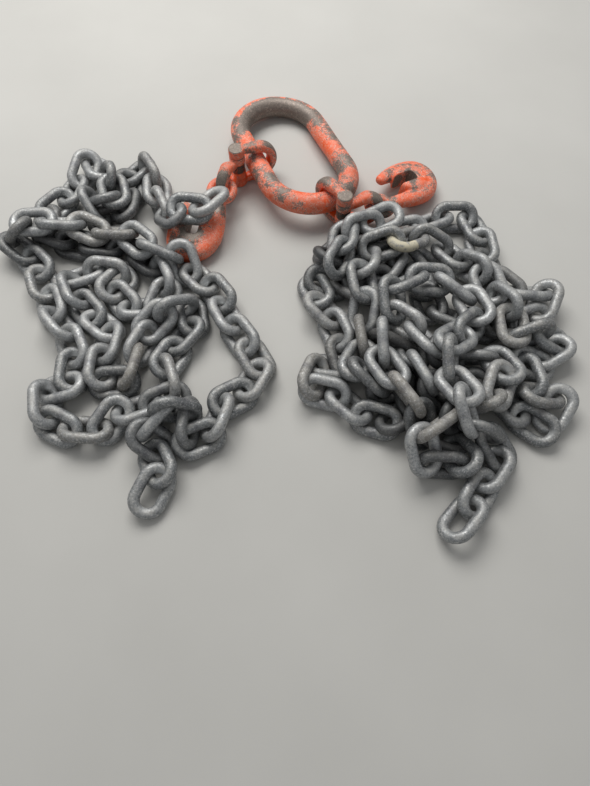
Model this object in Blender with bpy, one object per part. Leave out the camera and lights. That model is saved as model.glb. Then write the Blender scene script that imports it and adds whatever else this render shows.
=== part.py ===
"""Two-leg chain sling dropped on a floor: two heaps of short-link chain under one master link."""
import bmesh
import bpy
import numpy as np
from mathutils import Matrix, Vector

MM = 0.001

# Chain, in metres
WIRE = 0.022
PITCH = 3.0 * WIRE
LINK_WIDTH = 3.4 * WIRE
BOW_SHOULDER = 0.19
BOW_FLAT = 0.53
WIRE_SIDES = 5
RUN_LINKS = 5

# Clearances
GAP = 0.0003
SETTLE_GAP = 0.0003
WELD = 0.23 * WIRE
COUPLING_PLAY = 0.005
MASTER_PLAY = 0.006
UPPER_BOW_PLAY = 0.003
HOOK_EYE_PLAY = 0.006
HOOK_PULL = 0.0032

# Master link
MASTER_WIRE = 0.050
MASTER_LENGTH = 0.335
MASTER_WIDTH = 0.155
MASTER_SIDES = 10
MASTER_SEAT = 0.522  # height of its middle over the arms it lies on, in bars: it lies tipped

# Coupling links, one at each side of the master link
COUPLING_WIRE = 0.024
COUPLING_BROAD = 1.25
COUPLING_SIDES = 8
PIN_RADIUS = 0.0095
BUSH_WALL = 0.0075
EYE_WALL = 0.0095
OUTER_EYE_THICK = 0.022
INNER_EYE_THICK = 0.020
BUSH_LENGTH = 0.024
ARM_ROOT = 0.006
LOWER_BOW_RADIUS = 0.036
LOWER_BOW_REACH = 0.086
ROUND_SIDES = 16

# Shortening hooks, drawn from the middle of the eye: along, across, radius
HOOK_EYE_WIRE = 0.020
HOOK_BODY = (
    (0.030, -0.003, 0.013), (0.060, -0.007, 0.017), (0.100, -0.010, 0.021), (0.138, -0.004, 0.024),
    (0.164, 0.016, 0.025), (0.173, 0.045, 0.025), (0.160, 0.070, 0.024), (0.128, 0.080, 0.021),
    (0.090, 0.079, 0.018), (0.058, 0.073, 0.013),
)
HOOK_FLATTEN = 0.84
HOOK_SLOT = 0.030
HOOK_SLOT_START = 0.020
HOOK_SLOT_END = 0.136
HOOK_SLOT_ACROSS = 0.040
SADDLE_ALONG = 0.122
SADDLE_ACROSS = 0.036
SADDLE_RADIUS = 0.044
SADDLE_THICK = 0.046
SADDLE_ROOM = 0.002
FLOOR_PLAY = 0.001

# Where the fittings lie, in metres from the point below the camera
MASTER_AT = (-0.004, 1.172)
MASTER_TURN_DEG = -67.0
RIGHT_COUPLING_DEG = 11.0
LEFT_LEG_DEG = -114.0
RIGHT_LEG_DEG = 12.0
LEFT_HOOK_DEG = -102.0
RIGHT_HOOK_DEG = 32.0

# Where each coupling's pin stood when its leg's route was read, in the same metres
LEFT_ROUTE_PIN = (-0.1444, 1.1124)
RIGHT_ROUTE_PIN = (0.1164, 0.9628)

# Sizes that follow from the ones above
EYE_RADIUS = PIN_RADIUS + EYE_WALL
BUSH_RADIUS = PIN_RADIUS + BUSH_WALL
STACK = BUSH_LENGTH / 2 + INNER_EYE_THICK + OUTER_EYE_THICK + 2 * GAP
LOWER_ARM = BUSH_LENGTH / 2 + GAP + INNER_EYE_THICK / 2
UPPER_ARM = STACK - OUTER_EYE_THICK / 2
ARM_RADII = (0.44 * INNER_EYE_THICK, 0.475 * INNER_EYE_THICK, COUPLING_WIRE / 2)
STAND_OFF = MASTER_WIRE / 2 + BUSH_RADIUS + COUPLING_PLAY
UPPER_BOW_RADIUS = (MASTER_WIRE + COUPLING_WIRE) / 2 + UPPER_BOW_PLAY
UPPER_BOW_REACH = STAND_OFF + (MASTER_WIRE + COUPLING_WIRE) / 2 + MASTER_PLAY
HOOK_EYE_RADIUS = (HOOK_EYE_WIRE + COUPLING_WIRE) / 2 + HOOK_EYE_PLAY

# The view that the heap was read from, so a point is a photo pixel with a height
FOCAL_PX = 575.0
CENTRE_PX = (295.0, 393.0)
TILT_DEG = 25.0
EYE_HEIGHT = 16.8 * PITCH
ROUTE_PITCH = 0.066
SIZE_NOW = PITCH / ROUTE_PITCH

# Each leg from its coupling to its free end: photo x, photo y, height in mm
LEFT_ROUTE_PX = (
    (211, 222, 55), (199, 200, 85), (181, 210, 95), (166, 208, 85),
    (155, 192, 70), (145, 166, 45), (131, 166, 35), (123, 188, 40),
    (120, 208, 45), (102, 216, 50), (88, 204, 50), (98, 190, 62),
    (112, 196, 72), (106, 176, 55), (91, 161, 36), (78, 180, 32),
    (63, 199, 35), (44, 210, 30), (48, 240, 24), (70, 246, 26),
    (92, 244, 26), (122, 250, 26), (150, 264, 26), (168, 284, 24),
    (152, 312, 26), (128, 300, 50), (106, 285, 75), (112, 262, 85),
    (94, 260, 80), (76, 266, 70), (66, 286, 45), (78, 306, 30),
    (98, 312, 50), (104, 334, 65), (96, 358, 45), (106, 380, 26),
    (124, 372, 50), (130, 345, 75), (142, 322, 88), (162, 296, 90),
    (184, 300, 60), (188, 325, 40), (170, 345, 40), (160, 372, 40),
    (172, 396, 32), (150, 404, 55), (122, 400, 60), (92, 422, 45),
    (66, 432, 26), (44, 420, 24), (45, 398, 26), (64, 384, 50),
    (74, 358, 55), (66, 332, 50), (55, 305, 40), (48, 276, 34),
    (30, 258, 24), (12, 244, 30), (16, 226, 60), (50, 218, 88),
    (84, 219, 95), (114, 222, 105), (142, 236, 100), (168, 252, 80),
    (192, 272, 38), (212, 296, 26), (228, 322, 26), (245, 346, 28),
    (262, 364, 30), (246, 388, 30), (222, 400, 30), (212, 424, 28),
    (194, 446, 26), (186, 420, 45), (172, 400, 85), (150, 412, 100),
    (146, 434, 65), (156, 456, 35), (158, 474, 28), (150, 494, 22),
    (145, 508, 14), (139, 523, 13),
)
RIGHT_ROUTE_PX = (
    (390, 216, 60), (370, 219, 85), (350, 232, 95), (344, 262, 80),
    (330, 266, 60), (328, 246, 45), (350, 240, 45), (376, 238, 40),
    (402, 230, 42), (426, 222, 40), (448, 214, 34), (472, 220, 28),
    (484, 240, 25), (482, 262, 28), (496, 280, 26), (512, 296, 26),
    (540, 294, 26), (550, 310, 28), (530, 322, 30), (500, 330, 26),
    (470, 322, 26), (440, 318, 26), (424, 296, 28), (420, 270, 30),
    (400, 256, 32), (384, 274, 30), (372, 292, 28), (348, 284, 26),
    (322, 278, 24), (316, 300, 24), (336, 308, 30),
    (332, 328, 28), (345, 350, 28), (352, 370, 26), (326, 370, 24),
    (308, 380, 16), (326, 388, 30), (344, 404, 28), (372, 416, 24),
    (400, 424, 22), (418, 408, 26), (412, 384, 30), (390, 392, 30),
    (366, 388, 40), (360, 362, 55), (364, 334, 70), (362, 306, 85),
    (366, 278, 95), (368, 252, 90), (382, 236, 90), (402, 230, 95),
    (422, 228, 90), (438, 232, 80), (454, 242, 70), (472, 256, 60),
    (490, 280, 50), (506, 302, 65), (516, 330, 80), (546, 334, 55),
    (562, 342, 32), (546, 352, 40), (532, 362, 62), (526, 378, 70),
    (540, 398, 50), (554, 402, 28), (550, 424, 24), (528, 412, 35),
    (508, 396, 45), (484, 378, 52), (462, 382, 58), (444, 394, 68),
    (428, 386, 84), (420, 362, 98), (414, 336, 106), (398, 318, 110),
    (382, 334, 104), (382, 362, 88), (390, 390, 72), (408, 414, 52),
    (432, 430, 40), (454, 438, 34), (466, 456, 36), (448, 468, 50),
    (430, 452, 64), (430, 424, 90), (452, 404, 108), (490, 402, 94),
    (514, 380, 82), (500, 354, 85), (474, 346, 100), (448, 344, 115),
    (424, 326, 130), (408, 304, 145), (394, 280, 155), (412, 260, 170),
    (438, 252, 160), (464, 264, 150), (486, 288, 135), (482, 312, 145),
    (460, 322, 155), (450, 346, 155), (456, 376, 150), (468, 402, 145),
    (484, 424, 95), (493, 448, 50), (491, 470, 34), (484, 490, 26),
    (474, 508, 18), (458, 526, 13), (438, 546, 13),
)

# How the chain is laid: layers start apart by LIFT, then sink and are pressed clear of each other
SLACK = 0.975
LIFT = 1.5
REACH = 0.53 * WIRE
FILL_STEPS = 60
FILL_PRESSES = 3
FILL_STRENGTH = 1.2
FILL_FROM = 0.35
FILL_OVER = 75
FILL_HOME = 0.05
FILL_STEP = 0.07 * WIRE
FILL_LOOK = 0.9 * WIRE
SINK_STEPS = 340
SINK_PRESSES = 5
SINK_STRENGTH = 1.35
SINK_FAST = 0.055
SINK_SLOW = 0.0045
SINK_HOME = 0.02
SINK_LOOK = 0.45 * WIRE
CLEAR_STEPS = 1600
CLEAR_EARLY = 800
CLEAR_STRENGTH = 1.4
CLEAR_LATE_STRENGTH = 1.1
CLEAR_LOOK = 0.27 * WIRE
CLEAR_ENOUGH = 0.0001
JOIN_SLIP = 0.03
MOST_MOVE = 0.23 * WIRE
MOST_TURN = 0.15
TURN_GIVE = 1.96
LINK_SPREAD = (0.225, 0.45, 0.65)


def rows(*columns):
    return np.stack(columns, axis=-1)


def dot(a, b):
    return a[..., 0] * b[..., 0] + a[..., 1] * b[..., 1] + a[..., 2] * b[..., 2]


def cross(a, b):
    return rows(
        a[..., 1] * b[..., 2] - a[..., 2] * b[..., 1],
        a[..., 2] * b[..., 0] - a[..., 0] * b[..., 2],
        a[..., 0] * b[..., 1] - a[..., 1] * b[..., 0],
    )


def length(a):
    return np.sqrt(dot(a, a))


def turned(degrees):
    """Cosine and sine of an angle, rounded so that every machine lays the same heap."""
    angle = np.radians(degrees)
    return round(float(np.cos(angle)), 12), round(float(np.sin(angle)), 12)


def seen_at(px, py, height):
    """The point at this height that shows at this photo pixel."""
    cos_tilt, sin_tilt = turned(TILT_DEG)
    across = (px - CENTRE_PX[0]) / FOCAL_PX
    up = (CENTRE_PX[1] - py) / FOCAL_PX
    away = sin_tilt + up * cos_tilt
    down = cos_tilt - up * sin_tilt
    reach = (EYE_HEIGHT - height) / down
    return np.array((across * reach, away * reach, height))


# Link outline and the rule that walks links along a route


def link_outline():
    """Corner points of a link's wire centreline, its bows a little squared to leave room for the wire."""
    bow = (LINK_WIDTH - WIRE) / 2
    centre = PITCH / 2 + REACH - bow
    end = [
        (centre + BOW_SHOULDER * bow, bow),
        (centre + bow, BOW_FLAT * bow),
        (centre + bow, -BOW_FLAT * bow),
        (centre + BOW_SHOULDER * bow, -bow),
    ]
    return np.array(end + [(-x, -y) for x, y in end])


LINK = link_outline()
START_END = (4, 5, 6)
FREE_END = (0, 1, 2)


def smooth_path(points, steps=24):
    """A Catmull-Rom curve through the route points."""
    points = np.vstack([2 * points[0] - points[1], points, 2 * points[-1] - points[-2]])
    path = []
    for i in range(1, len(points) - 2):
        a, b, c, d = points[i - 1:i + 3]
        for k in range(steps):
            t = k / steps
            bend = (2 * a - 5 * b + 4 * c - d) * (t * t) + (3 * b - a - 3 * c + d) * (t * t * t)
            path.append(0.5 * (2 * b + (c - a) * t + bend))
    path.append(points[-2])
    return np.array(path)


def links_along(route, pin, route_pin):
    """Links that follow a route, each rolled a quarter turn from the last. The route moves with its pin."""
    across = pin[0] - route_pin[0] * SIZE_NOW
    away = pin[1] - route_pin[1] * SIZE_NOW
    points = []
    for px, py, height in route:
        x, y, z = seen_at(px, py, height * MM * SIZE_NOW)
        points.append((x + across, y + away, REACH + (z - REACH) * LIFT))
    path = smooth_path(np.array(points))
    run = np.concatenate([[0.0], np.cumsum(length(path[1:] - path[:-1]))])
    step = PITCH * SLACK
    count = int(run[-1] / step + 1e-6)
    marks = np.arange(count + 1) * step
    joints = rows(*[np.interp(marks, run, path[:, k]) for k in range(3)])
    ahead = joints[1:] - joints[:-1]
    ahead = ahead / length(ahead)[:, None]
    level = rows(-ahead[:, 1], ahead[:, 0], np.zeros(count))
    level = level / length(level)[:, None]
    upright = cross(ahead, level)
    lean = np.where(np.arange(count) % 2 == 0, 1.0, -1.0)[:, None]
    side = (level + lean * upright) * np.sqrt(0.5)
    return (joints[1:] + joints[:-1]) / 2, rows(ahead, side, cross(ahead, side))


# Fittings: each is drawn in a plane of its own


class Plane:
    """An origin with two in-plane directions and the normal."""

    def __init__(self, origin, first, second):
        self.origin = np.array(origin, float)
        self.first = np.array(first, float)
        self.second = np.array(second, float)
        self.normal = cross(self.first, self.second)

    def at(self, a, b, c=0.0):
        return self.origin + self.first * a + self.second * b + self.normal * c

    def matrix(self):
        columns = np.eye(4)
        columns[:3, 0] = self.first
        columns[:3, 1] = self.second
        columns[:3, 2] = self.normal
        columns[:3, 3] = self.origin
        return Matrix([list(map(float, row)) for row in columns])


def bow(radius, reach, steps):
    """Half circle points whose far side lies at reach, from one arm round to the other."""
    points = []
    for k in range(steps + 1):
        c, s = turned(90 - 180 * k / steps)
        points.append((reach - radius + radius * c, radius * s))
    return points


def master_loop(steps=8):
    """Flat outline of the master link about its middle, its long axis along the first direction."""
    radius = (MASTER_WIDTH + MASTER_WIRE) / 2
    reach = (MASTER_LENGTH + MASTER_WIRE) / 2
    near = bow(radius, reach, steps)
    return near + [(-a, -b) for a, b in near]


def place_master():
    """The master link laid on the two couplings' lower arms, tipped until its far side meets the floor."""
    c, s = turned(MASTER_TURN_DEG)
    along = np.array((c, s, 0.0))
    across = np.array((-s, c, 0.0))
    middle = np.array((MASTER_AT[0] * SIZE_NOW, MASTER_AT[1] * SIZE_NOW, 0.0))
    radius = (MASTER_WIDTH + MASTER_WIRE) / 2
    left_rest = middle - across * radius
    c, s = turned(RIGHT_COUPLING_DEG)
    out = along * c + across * s
    right_rest = middle + along * (MASTER_LENGTH / 2 + MASTER_WIRE / 2 - radius) + out * radius
    line = right_rest - left_rest
    line = line / length(line)
    far = np.array((-line[1], line[0], 0.0))
    points = [middle + along * a + across * b for a, b in master_loop()]
    arm_top = STACK - UPPER_BOW_RADIUS + COUPLING_WIRE / 2
    rest_height = arm_top + MASTER_SEAT * MASTER_WIRE + SETTLE_GAP
    farthest = max(float(dot(p - left_rest, far)) for p in points)
    drop = (rest_height - MASTER_WIRE / 2 / turned(180 / MASTER_SIDES)[0]) / farthest
    level = np.sqrt(1 - drop * drop)
    lift = np.array((0.0, 0.0, rest_height))
    tipped = far * level - np.array((0.0, 0.0, drop))
    shift = middle - left_rest
    origin = left_rest + lift + line * dot(shift, line) + tipped * dot(shift, far)
    first = line * dot(along, line) + tipped * dot(along, far)
    second = line * dot(across, line) + tipped * dot(across, far)
    left_pin = left_rest - across * STAND_OFF
    right_pin = right_rest + out * STAND_OFF
    return Plane(origin, first, second), (left_pin, across), (right_pin, -out)


def level_plane(origin, degrees):
    """A plane that lies flat, its first direction turned by this much."""
    c, s = turned(degrees)
    return Plane(origin, (c, s, 0.0), (-s, c, 0.0))


def standing_plane(origin, heading):
    """A plane that stands upright, its first direction along the heading."""
    return Plane(origin, heading, (0.0, 0.0, 1.0))


def half_path(arm, bow_radius, reach, steps=6):
    """A coupling half's wire: out from the pin, round the bow and back, with its radius at each point."""
    round_end = bow(bow_radius, reach, steps)
    near = PIN_RADIUS + ARM_ROOT
    neck = EYE_RADIUS + ARM_ROOT
    points = [(near, arm), (neck, arm)] + round_end + [(neck, -arm), (near, -arm)]
    root, narrow, full = ARM_RADII
    return points, [root, narrow] + [full] * len(round_end) + [narrow, root]


def hook_plane(leg, degrees, side):
    """A hook that lies on the floor, its eye held by the bow of the coupling's lower half."""
    crown = leg.at(LOWER_BOW_REACH, 0.0)
    drop = (STACK - SADDLE_THICK / 2 - FLOOR_PLAY) / (SADDLE_ALONG + SADDLE_RADIUS)
    level = np.sqrt(1 - drop * drop)
    c, s = turned(degrees)
    along = np.array((c * level, s * level, -drop))
    across = np.array((-s, c, 0.0)) * side
    return Plane(crown + along * HOOK_PULL, along, across)


# Laying the heap


def nearest(p, q, r, t):
    """Closest points of the segments from p to q and from r to t."""
    u = q - p
    v = t - r
    w = p - r
    a, b, c, d, e = dot(u, u), dot(u, v), dot(v, v), dot(u, w), dot(v, w)
    spread = a * c - b * b
    at_first = np.clip(np.where(spread > 1e-12, (b * e - c * d) / np.maximum(spread, 1e-12), 0.5), 0, 1)
    at_second = np.clip((b * at_first + e) / c, 0, 1)
    at_first = np.clip((b * at_second - d) / a, 0, 1)
    return p + u * at_first[..., None], r + v * at_second[..., None]


def unit(a, size):
    return a / np.maximum(size, 1e-9)[:, None]


def capped(a, most):
    """The vectors, none longer than this."""
    return a * np.minimum(1, most / np.maximum(length(a), 1e-12))[:, None]


def every_pair(first, second):
    """Indices of every one of the first with every one of the second."""
    return [k.ravel() for k in np.meshgrid(range(first), range(second), indexing="ij")]


class Heap:
    """Links as rigid wire outlines that are pressed apart, kept joined and let down to the floor."""

    def __init__(self, legs, fittings, bows):
        self.centre = np.concatenate([centre for centre, axes in legs])
        self.axes = np.concatenate([axes for centre, axes in legs])
        self.home = self.centre.copy()
        self.run = []
        self.heads = []
        for centre, axes in legs:
            first_run = self.run[-1] + 1 if self.run else 0
            self.heads.append(len(self.run))
            self.run += [first_run + i // RUN_LINKS for i in range(len(centre))]
        self.run = np.array(self.run)
        links = np.arange(len(self.run) - 1)
        self.before = links[~np.isin(links + 1, self.heads)]
        self.after = self.before + 1
        self.welded = self.run[self.before] == self.run[self.after]
        self.part_from = np.array([a for a, b, radius in fittings])
        self.part_to = np.array([b for a, b, radius in fittings])
        self.part_radius = np.array([radius for a, b, radius in fittings])
        self.bows = bows
        self.ease = TURN_GIVE / (np.array(LINK_SPREAD) * PITCH * PITCH)

    def wires(self):
        """Start and end points of every straight piece of every link."""
        ahead = self.axes[:, None, :, 0] * LINK[None, :, 0, None]
        start = ahead + self.axes[:, None, :, 1] * LINK[None, :, 1, None] + self.centre[:, None, :]
        return start, np.roll(start, -1, axis=1)

    def look(self, reach):
        """Finds the wire pieces that lie near each other or near a fitting."""
        start, end = self.wires()
        low = start.min(axis=1) - reach - REACH
        high = start.max(axis=1) + reach + REACH
        one, two = np.triu_indices(len(start), 1)
        close = np.all((low[one] < high[two]) & (low[two] < high[one]), axis=1)
        one, two = one[close], two[close]
        i, j = every_pair(len(LINK), len(LINK))
        a, b = nearest(start[one][:, i], end[one][:, i], start[two][:, j], end[two][:, j])
        pair, piece = np.nonzero(length(a - b) < 2 * REACH + reach)
        self.one, self.one_piece = one[pair], i[piece]
        self.two, self.two_piece = two[pair], j[piece]
        fused = (self.two - self.one == 1) & (self.run[self.one] == self.run[self.two])
        self.overlap = np.where(fused, WELD + JOIN_SLIP * WIRE, -SETTLE_GAP)
        link, part = every_pair(len(start), len(self.part_radius))
        part_low = np.minimum(self.part_from, self.part_to) - self.part_radius[:, None]
        part_high = np.maximum(self.part_from, self.part_to) + self.part_radius[:, None]
        close = np.all((low[link] < part_high[part]) & (part_low[part] < high[link]), axis=1)
        link, part = link[close], part[close]
        a, b = nearest(start[link], end[link], self.part_from[part][:, None], self.part_to[part][:, None])
        pair, piece = np.nonzero(length(a - b) < (REACH + self.part_radius[part])[:, None] + reach)
        self.link, self.link_piece, self.part = link[pair], piece, part[pair]

    def wire_touches(self, start, end, radius):
        """Pushes between two links whose wires are too near."""
        a, b = nearest(start[self.one, self.one_piece], end[self.one, self.one_piece],
                       start[self.two, self.two_piece], end[self.two, self.two_piece])
        apart = length(a - b)
        depth = 2 * radius - self.overlap - apart
        hit = depth > 0
        way = unit(a - b, apart)[hit]
        return self.one[hit], self.two[hit], a[hit], b[hit], way, depth[hit]

    def joint_pulls(self, start, end, radius):
        """Pulls between consecutive links whose bows have come apart."""
        i = np.repeat(FREE_END, 3)
        j = np.tile(START_END, 3)
        a, b = nearest(start[self.before][:, i], end[self.before][:, i],
                       start[self.after][:, j], end[self.after][:, j])
        apart = length(a - b)
        row = np.arange(len(apart))
        least = apart.argmin(axis=1)
        a, b, apart = a[row, least], b[row, least], apart[row, least]
        meet = np.where(self.welded, 2 * radius - WELD, 2 * radius + SETTLE_GAP + CLEAR_ENOUGH)
        return self.before, self.after, a, b, unit(b - a, apart), np.maximum(apart - meet, 0)

    def fitting_touches(self, start, end, radius):
        a, b = nearest(start[self.link, self.link_piece], end[self.link, self.link_piece],
                       self.part_from[self.part], self.part_to[self.part])
        apart = length(a - b)
        depth = radius + self.part_radius[self.part] + SETTLE_GAP - apart
        hit = depth > 0
        return self.link[hit], a[hit], unit(a - b, apart)[hit], depth[hit]

    def floor_touches(self, start, radius):
        link, corner = np.nonzero(start[:, :, 2] < radius)
        at = start[link, corner]
        up = np.zeros((len(link), 3))
        up[:, 2] = 1.0
        return link, at, up, radius - at[:, 2]

    def hanger_pulls(self, start, end, radius):
        """Keeps each leg's first link on the bow that it hangs from."""
        found = []
        for head, (bow_from, bow_to, bow_radius) in zip(self.heads, self.bows):
            i = np.repeat(START_END, len(bow_from))
            j = np.tile(np.arange(len(bow_from)), 3)
            a, b = nearest(start[head][i], end[head][i], bow_from[j], bow_to[j])
            apart = length(a - b)
            least = int(apart.argmin())
            loose = apart[least] - radius - bow_radius - SETTLE_GAP - CLEAR_ENOUGH
            found.append((head, a[least], (b[least] - a[least]) / max(apart[least], 1e-9), max(loose, 0)))
        return [np.array(column) for column in zip(*found)]

    def lever(self, body, at, way):
        """How a push at this point turns a link, and how much the point gives."""
        axes = self.axes[body]
        arm = cross(at - self.centre[body], way)
        local = rows(*[dot(axes[:, :, k], arm) for k in range(3)]) * self.ease
        turn = sum(axes[:, :, k] * local[:, k:k + 1] for k in range(3))
        return turn, 1 + dot(arm, turn)

    def press(self, strength, radius):
        """Moves every link a little out of what it touches and back to what it hangs on."""
        start, end = self.wires()
        touches = self.wire_touches(start, end, radius), self.joint_pulls(start, end, radius)
        one, two, at_one, at_two, way, need = [np.concatenate(column) for column in zip(*touches)]
        holds = (self.fitting_touches(start, end, radius), self.floor_touches(start, radius),
                 self.hanger_pulls(start, end, radius))
        held, at_held, way_held, need_held = [np.concatenate(column) for column in zip(*holds)]
        body = np.concatenate([one, two, held])
        ways = np.concatenate([way, -way, way_held])
        needs = np.concatenate([need, need, need_held])
        turn, give = self.lever(body, np.concatenate([at_one, at_two, at_held]), ways)
        both = give[:len(one)] + give[len(one):2 * len(one)]
        share = needs / np.concatenate([both, both, give[2 * len(one):]])
        weight = needs + 1e-6
        links = len(self.centre)
        total = np.bincount(body, weight, links)
        scale = np.where(total > 0, strength / np.maximum(total, 1e-15), 0)[:, None]
        push = weight * share
        move = rows(*[np.bincount(body, push * ways[:, k], links) for k in range(3)]) * scale
        spin = rows(*[np.bincount(body, push * turn[:, k], links) for k in range(3)]) * scale
        self.centre += capped(move, MOST_MOVE)
        self.roll(capped(spin, MOST_TURN))
        return needs.max()

    def roll(self, spin):
        """Turns the links, keeping their axes square."""
        first = self.axes[:, :, 0] + cross(spin, self.axes[:, :, 0])
        second = self.axes[:, :, 1] + cross(spin, self.axes[:, :, 1])
        first = first / length(first)[:, None]
        second = second - first * dot(first, second)[:, None]
        second = second / length(second)[:, None]
        self.axes = rows(first, second, cross(first, second))

    def draw_home(self, share, most, upright):
        """Pulls the links a little toward where the photo shows them."""
        pull = (self.home - self.centre) * share
        pull[:, 2] *= upright
        self.centre += capped(pull, most)

    def lay(self):
        for step in range(FILL_STEPS):
            if step % 4 == 0:
                self.look(FILL_LOOK)
            self.draw_home(FILL_HOME, FILL_STEP, 1.0)
            for _ in range(FILL_PRESSES):
                self.press(FILL_STRENGTH, REACH * min(1.0, FILL_FROM + step / FILL_OVER))
        for step in range(SINK_STEPS):
            if step % 4 == 0:
                self.look(SINK_LOOK)
            left = 1 - step / SINK_STEPS
            self.centre[:, 2] -= (SINK_FAST * left * left + SINK_SLOW) * WIRE
            self.draw_home(SINK_HOME, (0.5 * SINK_FAST * left + SINK_SLOW) * WIRE, 0.0)
            for _ in range(SINK_PRESSES):
                self.press(SINK_STRENGTH, REACH)
        for step in range(CLEAR_STEPS):
            if step % 6 == 0:
                self.look(CLEAR_LOOK)
            worst = self.press(CLEAR_STRENGTH if step < CLEAR_EARLY else CLEAR_LATE_STRENGTH, REACH)
            if worst < CLEAR_ENOUGH:
                break
        print("heap cleared to", round(worst / MM, 3), "mm in", step + 1, "steps")


# Meshes


def add_object(name, data, place, collection):
    obj = bpy.data.objects.new(name, data)
    obj.matrix_world = place
    bpy.data.collections[collection].objects.link(obj)
    return obj


def section(sides):
    """A regular outline with a corner at its first direction, to sweep along a wire."""
    curve = bpy.data.curves.new("section", "CURVE")
    spline = curve.splines.new("POLY")
    spline.points.add(sides - 1)
    for k, point in enumerate(spline.points):
        c, s = turned(360 * k / sides)
        point.co = (c, s, 0.0, 1.0)
    spline.use_cyclic_u = True
    return add_object("section", curve, Matrix(), "cutters")


def wire_mesh(name, points, radii, sides, closed=False):
    """The mesh of a bent wire: a flat curve swept with a regular section, a corner of it facing inward."""
    profile = section(sides)
    curve = bpy.data.curves.new(name, "CURVE")
    curve.dimensions = "3D"
    curve.twist_mode = "Z_UP"
    curve.bevel_mode = "OBJECT"
    curve.bevel_object = profile
    curve.use_fill_caps = not closed
    spline = curve.splines.new("POLY")
    spline.points.add(len(points) - 1)
    for point, (a, b), radius in zip(spline.points, points, radii):
        point.co = (a, b, 0.0, 1.0)
        point.radius = radius
    spline.use_cyclic_u = closed
    wire = add_object(name, curve, Matrix(), "cutters")
    graph = bpy.context.evaluated_depsgraph_get()
    data = bpy.data.meshes.new_from_object(wire.evaluated_get(graph))
    bpy.data.objects.remove(wire)
    bpy.data.objects.remove(profile)
    mesh = bmesh.new()
    mesh.from_mesh(data)
    bmesh.ops.remove_doubles(mesh, verts=mesh.verts, dist=0.00001)
    bmesh.ops.recalc_face_normals(mesh, faces=mesh.faces)
    mesh.to_mesh(data)
    mesh.free()
    return data


def cylinder(name, plane, a, b, low, high, radius, collection):
    """A cylinder along the plane's normal, through the in-plane point (a, b)."""
    mesh = bmesh.new()
    bmesh.ops.create_cone(mesh, cap_ends=True, segments=ROUND_SIDES, radius1=radius, radius2=radius,
                          depth=high - low)
    data = bpy.data.meshes.new(name)
    mesh.to_mesh(data)
    mesh.free()
    return add_object(name, data, plane.matrix() @ Matrix.Translation((a, b, (low + high) / 2)), collection)


def block(name, plane, low, high, collection):
    """A box between two corners given in the plane's own directions."""
    size = [high[k] - low[k] for k in range(3)]
    middle = [(high[k] + low[k]) / 2 for k in range(3)]
    mesh = bmesh.new()
    bmesh.ops.create_cube(mesh, size=1.0, matrix=Matrix.Diagonal(size + [1.0]))
    data = bpy.data.meshes.new(name)
    mesh.to_mesh(data)
    mesh.free()
    return add_object(name, data, plane.matrix() @ Matrix.Translation(middle), collection)


def combine(base, others, operation):
    """Joins the others to the base, or cuts them from it, and removes them."""
    for other in others:
        other.hide_render = True
        other.display_type = "WIRE"
        modifier = base.modifiers.new(operation.lower(), "BOOLEAN")
        modifier.operation = operation
        modifier.solver = "EXACT"
        modifier.object = other
    graph = bpy.context.evaluated_depsgraph_get()
    result = bpy.data.meshes.new_from_object(base.evaluated_get(graph))
    base.modifiers.clear()
    base.data = result
    for other in others:
        bpy.data.objects.remove(other)
    return base


def fill_pockets(obj):
    """Where two bows cross in a weld the union can seal a tiny pocket. Its inward-facing skin comes out."""
    mesh = bmesh.new()
    mesh.from_mesh(obj.data)
    seen = set()
    pockets = []
    for seed in mesh.faces:
        if seed in seen:
            continue
        skin, wave = {seed}, [seed]
        while wave:
            near = [f for edge in wave.pop().edges for f in edge.link_faces if f not in skin]
            skin.update(near)
            wave += near
        seen |= skin
        volume = 0.0
        for face in skin:
            first = face.verts[0].co
            for k in range(1, len(face.verts) - 1):
                volume += first.dot(face.verts[k].co.cross(face.verts[k + 1].co))
        if volume < 0:
            pockets += skin
    bmesh.ops.delete(mesh, geom=pockets, context="FACES")
    mesh.to_mesh(obj.data)
    mesh.free()


# The pieces


def build_master(plane):
    path = master_loop()
    data = wire_mesh("master_link", path, [MASTER_WIRE / 2] * len(path), MASTER_SIDES, closed=True)
    return add_object("master_link", data, plane.matrix(), "heap_of_steel_chain")


def build_half(name, plane, pin_plane, path, radii, arm, thick):
    """A coupling half: a bent bar, broader than thick, with an eye at each end, both bored for the pin."""
    data = wire_mesh(name, path, radii, COUPLING_SIDES)
    data.transform(Matrix.Diagonal((1.0, 1.0, COUPLING_BROAD, 1.0)))
    half = add_object(name, data, plane.matrix(), "heap_of_steel_chain")
    eyes = []
    for middle in (arm, -arm):
        eyes.append(cylinder("eye", pin_plane, 0.0, 0.0, middle - thick / 2, middle + thick / 2,
                             EYE_RADIUS, "cutters"))
    combine(half, eyes, "UNION")
    bore = cylinder("bore", pin_plane, 0.0, 0.0, -2 * STACK, 2 * STACK, PIN_RADIUS + GAP, "cutters")
    return combine(half, [bore], "DIFFERENCE")


def build_pin(name, plane):
    return cylinder(name, plane, 0.0, 0.0, -STACK, STACK, PIN_RADIUS, "heap_of_steel_chain")


def build_bush(name, plane):
    """The ring that keeps the lower half's eyes apart on the pin."""
    bush = cylinder(name, plane, 0.0, 0.0, -BUSH_LENGTH / 2, BUSH_LENGTH / 2, BUSH_RADIUS,
                    "heap_of_steel_chain")
    bore = cylinder("bore", plane, 0.0, 0.0, -BUSH_LENGTH, BUSH_LENGTH, PIN_RADIUS + GAP, "cutters")
    return combine(bush, [bore], "DIFFERENCE")


def hook_eye(sides=12):
    """Centreline of the hook's eye ring."""
    ring = []
    for k in range(sides):
        c, s = turned(360 * k / sides)
        ring.append((HOOK_EYE_RADIUS * c, HOOK_EYE_RADIUS * s))
    return ring


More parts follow.
